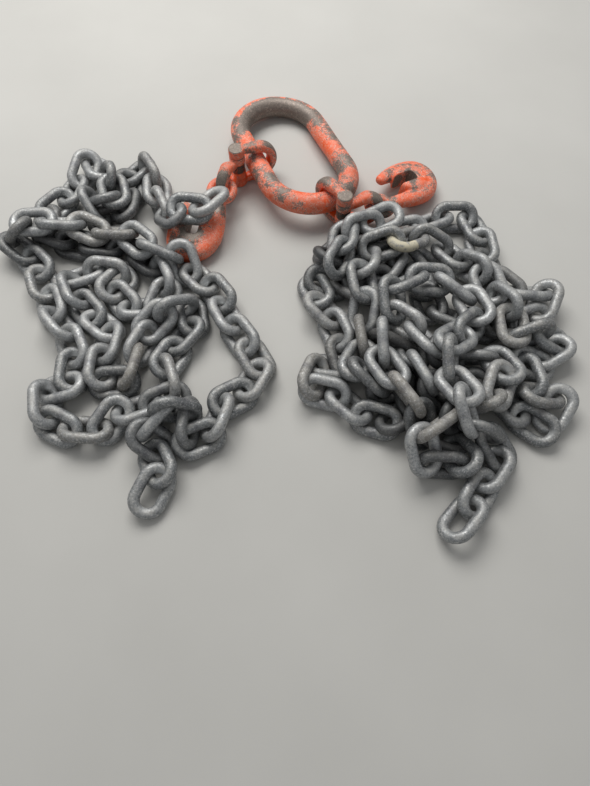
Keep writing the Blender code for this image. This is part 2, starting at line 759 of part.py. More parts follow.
def build_hook(name, plane):
    """A forged grab hook: eye ring, swelling shank, back and tip, with a saddle cheek beside the slot."""
    line = [(a, b) for a, b, radius in HOOK_BODY]
    data = wire_mesh(name, line, [radius for a, b, radius in HOOK_BODY], COUPLING_SIDES)
    data.transform(Matrix.Diagonal((1.0, 1.0, HOOK_FLATTEN, 1.0)))
    hook = add_object(name, data, plane.matrix(), "heap_of_steel_chain")
    ring = hook_eye()
    data = wire_mesh("eye", ring, [HOOK_EYE_WIRE / 2] * len(ring), COUPLING_SIDES, closed=True)
    eye = add_object("eye", data, plane.matrix(), "cutters")
    saddle = cylinder("saddle", plane, SADDLE_ALONG, SADDLE_ACROSS, -SADDLE_THICK / 2, SADDLE_THICK / 2,
                      SADDLE_RADIUS, "cutters")
    combine(hook, [eye, saddle], "UNION")
    low = HOOK_SLOT_ACROSS - HOOK_SLOT / 2
    slot = block("slot", plane, (HOOK_SLOT_START, low, -2 * SADDLE_THICK),
                 (HOOK_SLOT_END, low + HOOK_SLOT, 2 * SADDLE_THICK), "cutters")
    return combine(hook, [slot], "DIFFERENCE")


def build_run(name, heap, members, data):
    """Consecutive links joined into one piece where they bear on each other."""
    links = []
    for i in members:
        plane = Plane(heap.centre[i], heap.axes[i][:, 0], heap.axes[i][:, 1])
        links.append(add_object("link", data, plane.matrix(), "cutters"))
    run = add_object(name, data.copy(), links[0].matrix_world, "heap_of_steel_chain")
    combine(run, links[1:], "UNION")
    bpy.data.objects.remove(links[0])
    fill_pockets(run)
    return run


def wires_of(path, plane, radii, closed=False):
    """A bent wire's straight pieces, for the laying rule."""
    points = [plane.at(a, b) for a, b in path]
    thick = [(r + t) / 2 for r, t in zip(radii, list(radii[1:]) + [radii[0]])]
    pieces = list(zip(points, points[1:] + points[:1], thick))
    return pieces if closed else pieces[:-1]


def hook_wires(plane):
    """The hook as straight pieces, with the saddle as a cross of two."""
    line = [(a, b) for a, b, radius in HOOK_BODY]
    pieces = wires_of(line, plane, [radius for a, b, radius in HOOK_BODY])
    half = SADDLE_RADIUS - SADDLE_THICK / 2
    a, b, radius = SADDLE_ALONG, SADDLE_ACROSS, SADDLE_THICK / 2 + SADDLE_ROOM
    pieces.append((plane.at(a - half, b), plane.at(a + half, b), radius))
    pieces.append((plane.at(a, b - half), plane.at(a, b + half), radius))
    ring = hook_eye(6)
    return pieces + wires_of(ring, plane, [HOOK_EYE_WIRE / 2] * len(ring), closed=True)


def coat(obj, colour, metallic, roughness):
    material = bpy.data.materials.new("coat_" + obj.name)
    material.use_nodes = True
    shader = material.node_tree.nodes["Principled BSDF"]
    shader.inputs["Base Color"].default_value = (*colour, 1.0)
    shader.inputs["Metallic"].default_value = metallic
    shader.inputs["Roughness"].default_value = roughness
    obj.data.materials.clear()
    obj.data.materials.append(material)
    obj.data.shade_smooth()
    obj.data.set_sharp_from_angle(angle=np.radians(50))


def stand_on_origin(pieces):
    """Moves the whole heap so that the origin is at the middle of its underside."""
    bpy.context.view_layer.update()
    corners = np.array([obj.matrix_world @ v.co for obj in pieces for v in obj.data.vertices])
    low, high = corners.min(axis=0), corners.max(axis=0)
    shift = Matrix.Translation(Vector((-(low[0] + high[0]) / 2, -(low[1] + high[1]) / 2, -low[2])))
    for obj in pieces:
        obj.matrix_world = shift @ obj.matrix_world


def main():
    for obj in list(bpy.data.objects):
        bpy.data.objects.remove(obj)
    for name in ("heap_of_steel_chain", "cutters"):
        bpy.context.scene.collection.children.link(bpy.data.collections.new(name))

    master, left, right = place_master()
    painted = [build_master(master)]
    steel = []
    path = master_loop()
    fittings = wires_of(path, master, [MASTER_WIRE / 2] * len(path), closed=True)
    upper_path, upper_radii = half_path(UPPER_ARM, UPPER_BOW_RADIUS, UPPER_BOW_REACH)
    lower_path, lower_radii = half_path(LOWER_ARM, LOWER_BOW_RADIUS, LOWER_BOW_REACH)
    bows, legs, names = [], [], []
    broad_upper = [r * COUPLING_BROAD for r in upper_radii]
    broad_lower = [r * COUPLING_BROAD for r in lower_radii]
    sides = (("left", left, LEFT_LEG_DEG, LEFT_HOOK_DEG, -1, LEFT_ROUTE_PX, LEFT_ROUTE_PIN),
             ("right", right, RIGHT_LEG_DEG, RIGHT_HOOK_DEG, 1, RIGHT_ROUTE_PX, RIGHT_ROUTE_PIN))
    for side, (pin, toward_master), leg_turn, hook_turn, hook_side, route, route_pin in sides:
        middle = np.array((pin[0], pin[1], STACK))
        upper = standing_plane(middle, toward_master)
        lower = standing_plane(middle, (*turned(leg_turn), 0.0))
        flat = level_plane(middle, leg_turn)
        hook = hook_plane(lower, hook_turn, hook_side)
        painted.append(build_half(f"coupling_{side}_upper", upper, flat, upper_path, upper_radii,
                                  UPPER_ARM, OUTER_EYE_THICK))
        painted.append(build_half(f"coupling_{side}_lower", lower, flat, lower_path, lower_radii,
                                  LOWER_ARM, INNER_EYE_THICK))
        painted.append(build_hook(f"hook_{side}", hook))
        steel.append(build_pin(f"coupling_{side}_pin", flat))
        steel.append(build_bush(f"coupling_{side}_bush", flat))
        lower_wires = wires_of(lower_path, lower, broad_lower)
        pin_end = STACK - EYE_RADIUS
        pin_stack = (upper.at(0, -pin_end), upper.at(0, pin_end), EYE_RADIUS + FLOOR_PLAY)
        fittings += wires_of(upper_path, upper, broad_upper) + lower_wires + [pin_stack]
        fittings += hook_wires(hook)
        bow_from, bow_to, thick = zip(*lower_wires[3:-3])
        bows.append((np.array(bow_from), np.array(bow_to), max(thick)))
        legs.append(links_along(route, pin, route_pin))
        names += [side] * len(legs[-1][0])

    heap = Heap(legs, fittings, bows)
    heap.lay()
    link = wire_mesh("link", [tuple(p) for p in LINK], [REACH] * len(LINK), WIRE_SIDES, closed=True)
    chain = []
    for run in range(heap.run[-1] + 1):
        members = np.nonzero(heap.run == run)[0]
        side = names[members[0]]
        number = run + 1 - heap.run[names.index(side)]
        chain.append(build_run(f"chain_{side}_{number:02d}", heap, members, link))

    for obj in painted:
        coat(obj, (0.72, 0.14, 0.05), 0.0, 0.55)
    for obj in steel:
        coat(obj, (0.20, 0.20, 0.21), 0.9, 0.45)
    for obj in chain:
        coat(obj, (0.17, 0.18, 0.20), 0.8, 0.5)
    stand_on_origin(painted + steel + chain)


main()
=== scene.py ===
# %% [markdown]
# # A chain sling, dropped in two heaps
# The real object is a two-leg lifting sling: one oblong ring, a coupling and a grab hook at each side of it,
# and two long legs of short-link chain that lie where they fell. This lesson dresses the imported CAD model.
# The CAD solids already say where every part lies, so the first step loads them as a fixed frame.

# %% The fixed frame
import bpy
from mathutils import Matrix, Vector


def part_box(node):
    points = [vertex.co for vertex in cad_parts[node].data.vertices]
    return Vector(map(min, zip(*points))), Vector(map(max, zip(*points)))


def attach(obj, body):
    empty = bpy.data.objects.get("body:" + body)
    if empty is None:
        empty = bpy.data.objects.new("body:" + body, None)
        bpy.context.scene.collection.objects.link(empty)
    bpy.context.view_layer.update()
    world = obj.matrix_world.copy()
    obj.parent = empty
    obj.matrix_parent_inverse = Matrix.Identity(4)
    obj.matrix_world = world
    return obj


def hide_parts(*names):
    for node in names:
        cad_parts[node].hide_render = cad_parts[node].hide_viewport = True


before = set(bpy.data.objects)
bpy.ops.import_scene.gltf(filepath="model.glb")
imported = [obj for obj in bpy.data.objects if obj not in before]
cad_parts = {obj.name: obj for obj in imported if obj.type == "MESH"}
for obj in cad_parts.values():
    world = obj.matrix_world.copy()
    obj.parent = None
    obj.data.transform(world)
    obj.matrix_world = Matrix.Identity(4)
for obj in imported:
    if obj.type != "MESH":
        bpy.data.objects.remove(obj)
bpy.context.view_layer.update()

# %% [markdown]
# Blender's own modules make the meshes, and numpy does the arithmetic on many points at once.

import bpy
import numpy as np
from mathutils import Matrix, Vector

# %% [markdown]
# ## Sizes
# Everything follows from the chain's wire. A short-link lifting chain has a pitch of three wires and a width
# of 3.4 wires, so one number sizes the legs. The fittings have sizes of their own. The CAD model was made
# from the same numbers, which is why the finer pieces below drop into the places of its solids.

# %% Chain and clearances, in metres
MM = 0.001
WIRE = 0.022
PITCH = 3.0 * WIRE
LINK_WIDTH = 3.4 * WIRE
BOW_SHOULDER = 0.19  # as a share of the bow's radius, and so is the next
BOW_FLAT = 0.53
RUN_LINKS = 5
GAP = 0.0003
SETTLE_GAP = 0.0003
WELD = 0.23 * WIRE
COUPLING_PLAY = 0.005
MASTER_PLAY = 0.006
UPPER_BOW_PLAY = 0.003
HOOK_EYE_PLAY = 0.006
HOOK_PULL = 0.0032
FLOOR_PLAY = 0.001

# %% Fittings, in metres
MASTER_WIRE = 0.050
MASTER_LENGTH = 0.335
MASTER_WIDTH = 0.155
MASTER_SIDES = 10
MASTER_SEAT = 0.522  # height of its middle over the arms it lies on, in bars: it lies tipped
COUPLING_WIRE = 0.024
COUPLING_BROAD = 1.25
PIN_RADIUS = 0.0095
BUSH_WALL = 0.0075
EYE_WALL = 0.0095
OUTER_EYE_THICK = 0.022
INNER_EYE_THICK = 0.020
BUSH_LENGTH = 0.024
ARM_ROOT = 0.006
LOWER_BOW_RADIUS = 0.036
LOWER_BOW_REACH = 0.086
HOOK_EYE_WIRE = 0.020
HOOK_BODY = (
    (0.030, -0.003, 0.013), (0.060, -0.007, 0.017), (0.100, -0.010, 0.021), (0.138, -0.004, 0.024),
    (0.164, 0.016, 0.025), (0.173, 0.045, 0.025), (0.160, 0.070, 0.024), (0.128, 0.080, 0.021),
    (0.090, 0.079, 0.018), (0.058, 0.073, 0.013),
)
HOOK_FLATTEN = 0.84
HOOK_SLOT = 0.030
HOOK_SLOT_START = 0.020
HOOK_SLOT_END = 0.136
HOOK_SLOT_ACROSS = 0.040
SADDLE_ALONG = 0.122
SADDLE_ACROSS = 0.036
SADDLE_RADIUS = 0.044
SADDLE_THICK = 0.046
SADDLE_ROOM = 0.002

# %% Where the fittings lie, and what follows from their sizes
MASTER_AT = (-0.004, 1.172)
MASTER_TURN_DEG = -67.0
RIGHT_COUPLING_DEG = 11.0
LEFT_LEG_DEG = -114.0
RIGHT_LEG_DEG = 12.0
LEFT_HOOK_DEG = -102.0
RIGHT_HOOK_DEG = 32.0
LEFT_ROUTE_PIN = (-0.1444, 1.1124)
RIGHT_ROUTE_PIN = (0.1164, 0.9628)
EYE_RADIUS = PIN_RADIUS + EYE_WALL
BUSH_RADIUS = PIN_RADIUS + BUSH_WALL
STACK = BUSH_LENGTH / 2 + INNER_EYE_THICK + OUTER_EYE_THICK + 2 * GAP
LOWER_ARM = BUSH_LENGTH / 2 + GAP + INNER_EYE_THICK / 2
UPPER_ARM = STACK - OUTER_EYE_THICK / 2
ARM_RADII = (0.44 * INNER_EYE_THICK, 0.475 * INNER_EYE_THICK, COUPLING_WIRE / 2)
STAND_OFF = MASTER_WIRE / 2 + BUSH_RADIUS + COUPLING_PLAY
UPPER_BOW_RADIUS = (MASTER_WIRE + COUPLING_WIRE) / 2 + UPPER_BOW_PLAY
UPPER_BOW_REACH = STAND_OFF + (MASTER_WIRE + COUPLING_WIRE) / 2 + MASTER_PLAY
HOOK_EYE_RADIUS = (HOOK_EYE_WIRE + COUPLING_WIRE) / 2 + HOOK_EYE_PLAY
print("pin stack half height, mm:", round(STACK * 1000, 1))

# %% [markdown]
# ## The view
# The heap was read from one picture, so each point of a leg's route is a place in that picture and a height.
# A ray through the place meets that height at one spot. The camera's height, tilt and focal length in pixels
# are all that this needs, and the scene's camera is set from the same numbers later.

# %% Vector helpers
def rows(*columns):
    return np.stack(columns, axis=-1)


def dot(a, b):
    return a[..., 0] * b[..., 0] + a[..., 1] * b[..., 1] + a[..., 2] * b[..., 2]


def cross(a, b):
    return rows(
        a[..., 1] * b[..., 2] - a[..., 2] * b[..., 1],
        a[..., 2] * b[..., 0] - a[..., 0] * b[..., 2],
        a[..., 0] * b[..., 1] - a[..., 1] * b[..., 0],
    )


def length(a):
    return np.sqrt(dot(a, a))


def turned(degrees):
    """Cosine and sine of an angle, rounded so that every machine lays the same heap."""
    angle = np.radians(degrees)
    return round(float(np.cos(angle)), 12), round(float(np.sin(angle)), 12)


# %% From the picture to the floor and back
FOCAL_PX = 575.0
CENTRE_PX = (295.0, 393.0)
TILT_DEG = 25.0
EYE_HEIGHT = 16.8 * PITCH
ROUTE_PITCH = 0.066
SIZE_NOW = PITCH / ROUTE_PITCH
PICTURE = (590, 786)


def seen_at(px, py, height):
    """The point at this height that shows at this photo pixel."""
    cos_tilt, sin_tilt = turned(TILT_DEG)
    across = (px - CENTRE_PX[0]) / FOCAL_PX
    up = (CENTRE_PX[1] - py) / FOCAL_PX
    away = sin_tilt + up * cos_tilt
    down = cos_tilt - up * sin_tilt
    reach = (EYE_HEIGHT - height) / down
    return np.array((across * reach, away * reach, height))


def shown_at(points):
    """Where points show in the picture: the inverse of seen_at."""
    cos_tilt, sin_tilt = turned(TILT_DEG)
    drop = EYE_HEIGHT - points[:, 2]
    depth = points[:, 1] * sin_tilt + drop * cos_tilt
    up = (points[:, 1] * cos_tilt - drop * sin_tilt) / depth
    return rows(CENTRE_PX[0] + FOCAL_PX * points[:, 0] / depth, CENTRE_PX[1] - FOCAL_PX * up)


print("one link across the floor below the camera, px:", round(FOCAL_PX * PITCH / EYE_HEIGHT, 1))

# %% [markdown]
# ## The legs' routes
# A heap could be dropped by a rigid body simulation, but then it would not lie as the real one does. Here each
# leg follows a listed route: picture x, picture y and height in millimetres, from the coupling to the
# free end. Loops, crossings and hanging bends are all in these points.

# %% The left leg's route
LEFT_ROUTE_PX = (
    (211, 222, 55), (199, 200, 85), (181, 210, 95), (166, 208, 85),
    (155, 192, 70), (145, 166, 45), (131, 166, 35), (123, 188, 40),
    (120, 208, 45), (102, 216, 50), (88, 204, 50), (98, 190, 62),
    (112, 196, 72), (106, 176, 55), (91, 161, 36), (78, 180, 32),
    (63, 199, 35), (44, 210, 30), (48, 240, 24), (70, 246, 26),
    (92, 244, 26), (122, 250, 26), (150, 264, 26), (168, 284, 24),
    (152, 312, 26), (128, 300, 50), (106, 285, 75), (112, 262, 85),
    (94, 260, 80), (76, 266, 70), (66, 286, 45), (78, 306, 30),
    (98, 312, 50), (104, 334, 65), (96, 358, 45), (106, 380, 26),
    (124, 372, 50), (130, 345, 75), (142, 322, 88), (162, 296, 90),
    (184, 300, 60), (188, 325, 40), (170, 345, 40), (160, 372, 40),
    (172, 396, 32), (150, 404, 55), (122, 400, 60), (92, 422, 45),
    (66, 432, 26), (44, 420, 24), (45, 398, 26), (64, 384, 50),
    (74, 358, 55), (66, 332, 50), (55, 305, 40), (48, 276, 34),
    (30, 258, 24), (12, 244, 30), (16, 226, 60), (50, 218, 88),
    (84, 219, 95), (114, 222, 105), (142, 236, 100), (168, 252, 80),
    (192, 272, 38), (212, 296, 26), (228, 322, 26), (245, 346, 28),
    (262, 364, 30), (246, 388, 30), (222, 400, 30), (212, 424, 28),
    (194, 446, 26), (186, 420, 45), (172, 400, 85), (150, 412, 100),
    (146, 434, 65), (156, 456, 35), (158, 474, 28), (150, 494, 22),
    (145, 508, 14), (139, 523, 13),
)

# %% The right leg's route
RIGHT_ROUTE_PX = (
    (390, 216, 60), (370, 219, 85), (350, 232, 95), (344, 262, 80),
    (330, 266, 60), (328, 246, 45), (350, 240, 45), (376, 238, 40),
    (402, 230, 42), (426, 222, 40), (448, 214, 34), (472, 220, 28),
    (484, 240, 25), (482, 262, 28), (496, 280, 26), (512, 296, 26),
    (540, 294, 26), (550, 310, 28), (530, 322, 30), (500, 330, 26),
    (470, 322, 26), (440, 318, 26), (424, 296, 28), (420, 270, 30),
    (400, 256, 32), (384, 274, 30), (372, 292, 28), (348, 284, 26),
    (322, 278, 24), (316, 300, 24), (336, 308, 30),
    (332, 328, 28), (345, 350, 28), (352, 370, 26), (326, 370, 24),
    (308, 380, 16), (326, 388, 30), (344, 404, 28), (372, 416, 24),
    (400, 424, 22), (418, 408, 26), (412, 384, 30), (390, 392, 30),
    (366, 388, 40), (360, 362, 55), (364, 334, 70), (362, 306, 85),
    (366, 278, 95), (368, 252, 90), (382, 236, 90), (402, 230, 95),
    (422, 228, 90), (438, 232, 80), (454, 242, 70), (472, 256, 60),
    (490, 280, 50), (506, 302, 65), (516, 330, 80), (546, 334, 55),
    (562, 342, 32), (546, 352, 40), (532, 362, 62), (526, 378, 70),
    (540, 398, 50), (554, 402, 28), (550, 424, 24), (528, 412, 35),
    (508, 396, 45), (484, 378, 52), (462, 382, 58), (444, 394, 68),
    (428, 386, 84), (420, 362, 98), (414, 336, 106), (398, 318, 110),
    (382, 334, 104), (382, 362, 88), (390, 390, 72), (408, 414, 52),
    (432, 430, 40), (454, 438, 34), (466, 456, 36), (448, 468, 50),
    (430, 452, 64), (430, 424, 90), (452, 404, 108), (490, 402, 94),
    (514, 380, 82), (500, 354, 85), (474, 346, 100), (448, 344, 115),
    (424, 326, 130), (408, 304, 145), (394, 280, 155), (412, 260, 170),
    (438, 252, 160), (464, 264, 150), (486, 288, 135), (482, 312, 145),
    (460, 322, 155), (450, 346, 155), (456, 376, 150), (468, 402, 145),
    (484, 424, 95), (493, 448, 50), (491, 470, 34), (484, 490, 26),
    (474, 508, 18), (458, 526, 13), (438, 546, 13),
)

# %% [markdown]
# ## Links on a string
# Links are threaded on a smooth curve through the route, one pitch apart and each rolled a quarter turn from
# the last, as chain is. They start a little too high, so that crossing strands do not begin inside each other.

# %% The outline of a link and the rule that walks links along a route
SLACK = 0.975
LIFT = 1.5
REACH = 0.53 * WIRE


def link_outline():
    """Corner points of a link's wire centreline, its bows a little squared to leave room for the wire."""
    bow = (LINK_WIDTH - WIRE) / 2
    centre = PITCH / 2 + REACH - bow
    end = [
        (centre + BOW_SHOULDER * bow, bow),
        (centre + bow, BOW_FLAT * bow),
        (centre + bow, -BOW_FLAT * bow),
        (centre + BOW_SHOULDER * bow, -bow),
    ]
    return np.array(end + [(-x, -y) for x, y in end])


LINK = link_outline()
START_END = (4, 5, 6)
FREE_END = (0, 1, 2)


def smooth_path(points, steps=24):
    """A smooth curve through the route points."""
    points = np.vstack([2 * points[0] - points[1], points, 2 * points[-1] - points[-2]])
    path = []
    for i in range(1, len(points) - 2):
        a, b, c, d = points[i - 1:i + 3]
        for k in range(steps):
            t = k / steps
            bend = (2 * a - 5 * b + 4 * c - d) * (t * t) + (3 * b - a - 3 * c + d) * (t * t * t)
            path.append(0.5 * (2 * b + (c - a) * t + bend))
    path.append(points[-2])
    return np.array(path)


def links_along(route, pin, route_pin):
    """Links that follow a route, each rolled a quarter turn from the last. The route moves with its pin."""
    across = pin[0] - route_pin[0] * SIZE_NOW
    away = pin[1] - route_pin[1] * SIZE_NOW
    points = []
    for px, py, height in route:
        x, y, z = seen_at(px, py, height * MM * SIZE_NOW)
        points.append((x + across, y + away, REACH + (z - REACH) * LIFT))
    path = smooth_path(np.array(points))
    run = np.concatenate([[0.0], np.cumsum(length(path[1:] - path[:-1]))])
    step = PITCH * SLACK
    count = int(run[-1] / step + 1e-6)
    marks = np.arange(count + 1) * step
    joints = rows(*[np.interp(marks, run, path[:, k]) for k in range(3)])
    ahead = joints[1:] - joints[:-1]
    ahead = ahead / length(ahead)[:, None]
    level = rows(-ahead[:, 1], ahead[:, 0], np.zeros(count))
    level = level / length(level)[:, None]
    upright = cross(ahead, level)
    lean = np.where(np.arange(count) % 2 == 0, 1.0, -1.0)[:, None]
    side = (level + lean * upright) * np.sqrt(0.5)
    return (joints[1:] + joints[:-1]) / 2, rows(ahead, side, cross(ahead, side))


print("points in the routes:", len(LEFT_ROUTE_PX), len(RIGHT_ROUTE_PX))

# %% [markdown]
# ## Where the fittings lie
# Each forging is drawn flat, in a plane of its own. The ring leans on both couplings and touches the floor
# at its far side, so its plane is tipped. A coupling's upper half stands upright round the ring, its lower
# half is turned about the same pin, and the hook hangs from the lower bow with its flat side on the floor.

# %% A plane to draw in
class Plane:
    """An origin with two in-plane directions and the normal."""

    def __init__(self, origin, first, second):
        self.origin = np.array(origin, float)
        self.first = np.array(first, float)
        self.second = np.array(second, float)
        self.normal = cross(self.first, self.second)

    def at(self, a, b, c=0.0):
        """The point this far along the plane's directions and off it."""
        return self.origin + self.first * a + self.second * b + self.normal * c

    def matrix(self):
        """The plane as a matrix that places what is drawn flat."""
        columns = np.eye(4)
        columns[:3, 0] = self.first
        columns[:3, 1] = self.second
        columns[:3, 2] = self.normal
        columns[:3, 3] = self.origin
        return Matrix([list(map(float, row)) for row in columns])


# %% The outlines of ring, coupling and hook
def bow(radius, reach, steps):
    """Half circle points whose far side lies at reach, from one arm round to the other."""
    points = []
    for k in range(steps + 1):
        c, s = turned(90 - 180 * k / steps)
        points.append((reach - radius + radius * c, radius * s))
    return points


def master_loop(steps=8):
    """Flat outline of the master link about its middle, its long axis along the first direction."""
    radius = (MASTER_WIDTH + MASTER_WIRE) / 2
    reach = (MASTER_LENGTH + MASTER_WIRE) / 2
    near = bow(radius, reach, steps)
    return near + [(-a, -b) for a, b in near]


def half_path(arm, bow_radius, reach, steps=6):
    """A coupling half's wire: out from the pin, round the bow and back, with its radius at each point."""
    round_end = bow(bow_radius, reach, steps)
    near = PIN_RADIUS + ARM_ROOT
    neck = EYE_RADIUS + ARM_ROOT
    points = [(near, arm), (neck, arm)] + round_end + [(neck, -arm), (near, -arm)]
    root, narrow, full = ARM_RADII
    return points, [root, narrow] + [full] * len(round_end) + [narrow, root]


def hook_eye(sides=12):
    """Centreline of the hook's eye ring."""
    ring = []
    for k in range(sides):
        c, s = turned(360 * k / sides)
        ring.append((HOOK_EYE_RADIUS * c, HOOK_EYE_RADIUS * s))
    return ring


# %% Placing them
def place_master():
    """The master link laid on the two couplings' lower arms, tipped until its far side meets the floor."""
    c, s = turned(MASTER_TURN_DEG)
    along = np.array((c, s, 0.0))
    across = np.array((-s, c, 0.0))
    middle = np.array((MASTER_AT[0] * SIZE_NOW, MASTER_AT[1] * SIZE_NOW, 0.0))
    radius = (MASTER_WIDTH + MASTER_WIRE) / 2
    left_rest = middle - across * radius
    c, s = turned(RIGHT_COUPLING_DEG)
    out = along * c + across * s
    right_rest = middle + along * (MASTER_LENGTH / 2 + MASTER_WIRE / 2 - radius) + out * radius
    line = right_rest - left_rest
    line = line / length(line)
    far = np.array((-line[1], line[0], 0.0))
    points = [middle + along * a + across * b for a, b in master_loop()]
    arm_top = STACK - UPPER_BOW_RADIUS + COUPLING_WIRE / 2
    rest_height = arm_top + MASTER_SEAT * MASTER_WIRE + SETTLE_GAP
    farthest = max(float(dot(p - left_rest, far)) for p in points)
    drop = (rest_height - MASTER_WIRE / 2 / turned(180 / MASTER_SIDES)[0]) / farthest
    level = np.sqrt(1 - drop * drop)
    lift = np.array((0.0, 0.0, rest_height))
    tipped = far * level - np.array((0.0, 0.0, drop))
    shift = middle - left_rest
    origin = left_rest + lift + line * dot(shift, line) + tipped * dot(shift, far)
    first = line * dot(along, line) + tipped * dot(along, far)
    second = line * dot(across, line) + tipped * dot(across, far)
    left_pin = left_rest - across * STAND_OFF
    right_pin = right_rest + out * STAND_OFF
    return Plane(origin, first, second), (left_pin, across), (right_pin, -out)


def level_plane(origin, degrees):
    """A plane that lies flat, its first direction turned by this much."""
    c, s = turned(degrees)
    return Plane(origin, (c, s, 0.0), (-s, c, 0.0))


def standing_plane(origin, heading):
    """A plane that stands upright, its first direction along the heading."""
    return Plane(origin, heading, (0.0, 0.0, 1.0))


def hook_plane(leg, degrees, side):
    """A hook that lies on the floor, its eye held by the bow of the coupling's lower half."""
    crown = leg.at(LOWER_BOW_REACH, 0.0)
    drop = (STACK - SADDLE_THICK / 2 - FLOOR_PLAY) / (SADDLE_ALONG + SADDLE_RADIUS)
    level = np.sqrt(1 - drop * drop)
    c, s = turned(degrees)
    along = np.array((c * level, s * level, -drop))
    across = np.array((-s, c, 0.0)) * side
    return Plane(crown + along * HOOK_PULL, along, across)


ring_plane, left_joint, right_joint = place_master()
print("ring leans by, degrees:", round(float(np.degrees(np.arccos(ring_plane.normal[2]))), 2))

# %% [markdown]
# ## Pressing the heap into shape
# Every link is treated as a rigid outline of wire. Many small steps push touching wires apart, pull bearing
# bows together and hold links above the floor. It is the idea of a physics engine with the speed left out,
# and since every step is plain arithmetic it ends the same on every computer. The code is one class that is
# built up over the next cells, each adding one skill.

# %% Small tools for touching wires
FILL_STEPS = 60
FILL_PRESSES = 3
FILL_STRENGTH = 1.2
FILL_FROM = 0.35
FILL_OVER = 75
FILL_HOME = 0.05
FILL_STEP = 0.07 * WIRE
FILL_LOOK = 0.9 * WIRE
SINK_STEPS = 340
SINK_PRESSES = 5
SINK_STRENGTH = 1.35
SINK_FAST = 0.055
SINK_SLOW = 0.0045
SINK_HOME = 0.02
SINK_LOOK = 0.45 * WIRE
CLEAR_STEPS = 1600
CLEAR_EARLY = 800
CLEAR_STRENGTH = 1.4
CLEAR_LATE_STRENGTH = 1.1
CLEAR_LOOK = 0.27 * WIRE
CLEAR_ENOUGH = 0.0001
JOIN_SLIP = 0.03
MOST_MOVE = 0.23 * WIRE
MOST_TURN = 0.15
TURN_GIVE = 1.96
LINK_SPREAD = (0.225, 0.45, 0.65)


def nearest(p, q, r, t):
    """Closest points of the segments from p to q and from r to t."""
    u = q - p
    v = t - r
    w = p - r
    a, b, c, d, e = dot(u, u), dot(u, v), dot(v, v), dot(u, w), dot(v, w)
    spread = a * c - b * b
    at_first = np.clip(np.where(spread > 1e-12, (b * e - c * d) / np.maximum(spread, 1e-12), 0.5), 0, 1)
    at_second = np.clip((b * at_first + e) / c, 0, 1)
    at_first = np.clip((b * at_second - d) / a, 0, 1)
    return p + u * at_first[..., None], r + v * at_second[..., None]


def unit(a, size):
    return a / np.maximum(size, 1e-9)[:, None]


def capped(a, most):
    """The vectors, none longer than this."""
    return a * np.minimum(1, most / np.maximum(length(a), 1e-12))[:, None]


def every_pair(first, second):
    """Indices of every one of the first with every one of the second."""
    return [k.ravel() for k in np.meshgrid(range(first), range(second), indexing="ij")]


# %% [markdown]
# First the links themselves: centres, axes, and which run of five each belongs to, because the CAD model
# joins five links into one solid.

# %% The links and their wires
class Links:
    """Links as rigid wire outlines."""

    def __init__(self, legs, fittings, bows):
        self.centre = np.concatenate([centre for centre, axes in legs])
        self.axes = np.concatenate([axes for centre, axes in legs])
        self.home = self.centre.copy()
        self.run = []
        self.heads = []
        for centre, axes in legs:
            first_run = self.run[-1] + 1 if self.run else 0
            self.heads.append(len(self.run))
            self.run += [first_run + i // RUN_LINKS for i in range(len(centre))]
        self.run = np.array(self.run)
        links = np.arange(len(self.run) - 1)
        self.before = links[~np.isin(links + 1, self.heads)]
        self.after = self.before + 1
        self.welded = self.run[self.before] == self.run[self.after]
        self.part_from = np.array([a for a, b, radius in fittings])
        self.part_to = np.array([b for a, b, radius in fittings])
        self.part_radius = np.array([radius for a, b, radius in fittings])
        self.bows = bows
        self.ease = TURN_GIVE / (np.array(LINK_SPREAD) * PITCH * PITCH)

    def wires(self):
        """Start and end points of every straight piece of every link."""
        ahead = self.axes[:, None, :, 0] * LINK[None, :, 0, None]
        start = ahead + self.axes[:, None, :, 1] * LINK[None, :, 1, None] + self.centre[:, None, :]
        return start, np.roll(start, -1, axis=1)


# %% [markdown]
# Checking every wire against every other at every step would be slow. A list of near pairs is made first and
# used for a few steps.

# %% Who lies near whom
class Neighbours(Links):
    """Links that know what lies near them."""

    def look(self, reach):
        """Finds the wire pieces that lie near each other or near a fitting."""
        start, end = self.wires()
        low = start.min(axis=1) - reach - REACH
        high = start.max(axis=1) + reach + REACH
        one, two = np.triu_indices(len(start), 1)
        close = np.all((low[one] < high[two]) & (low[two] < high[one]), axis=1)
        one, two = one[close], two[close]
        i, j = every_pair(len(LINK), len(LINK))
        a, b = nearest(start[one][:, i], end[one][:, i], start[two][:, j], end[two][:, j])
        pair, piece = np.nonzero(length(a - b) < 2 * REACH + reach)
        self.one, self.one_piece = one[pair], i[piece]
        self.two, self.two_piece = two[pair], j[piece]
        fused = (self.two - self.one == 1) & (self.run[self.one] == self.run[self.two])
        self.overlap = np.where(fused, WELD + JOIN_SLIP * WIRE, -SETTLE_GAP)
        link, part = every_pair(len(start), len(self.part_radius))
        part_low = np.minimum(self.part_from, self.part_to) - self.part_radius[:, None]
        part_high = np.maximum(self.part_from, self.part_to) + self.part_radius[:, None]
        close = np.all((low[link] < part_high[part]) & (part_low[part] < high[link]), axis=1)
        link, part = link[close], part[close]
        a, b = nearest(start[link], end[link], self.part_from[part][:, None], self.part_to[part][:, None])
        pair, piece = np.nonzero(length(a - b) < (REACH + self.part_radius[part])[:, None] + reach)
        self.link, self.link_piece, self.part = link[pair], piece, part[pair]


# %% [markdown]
# Two wires that come too near give a push along the line between them. Fittings and the floor push too, but
# do not move.

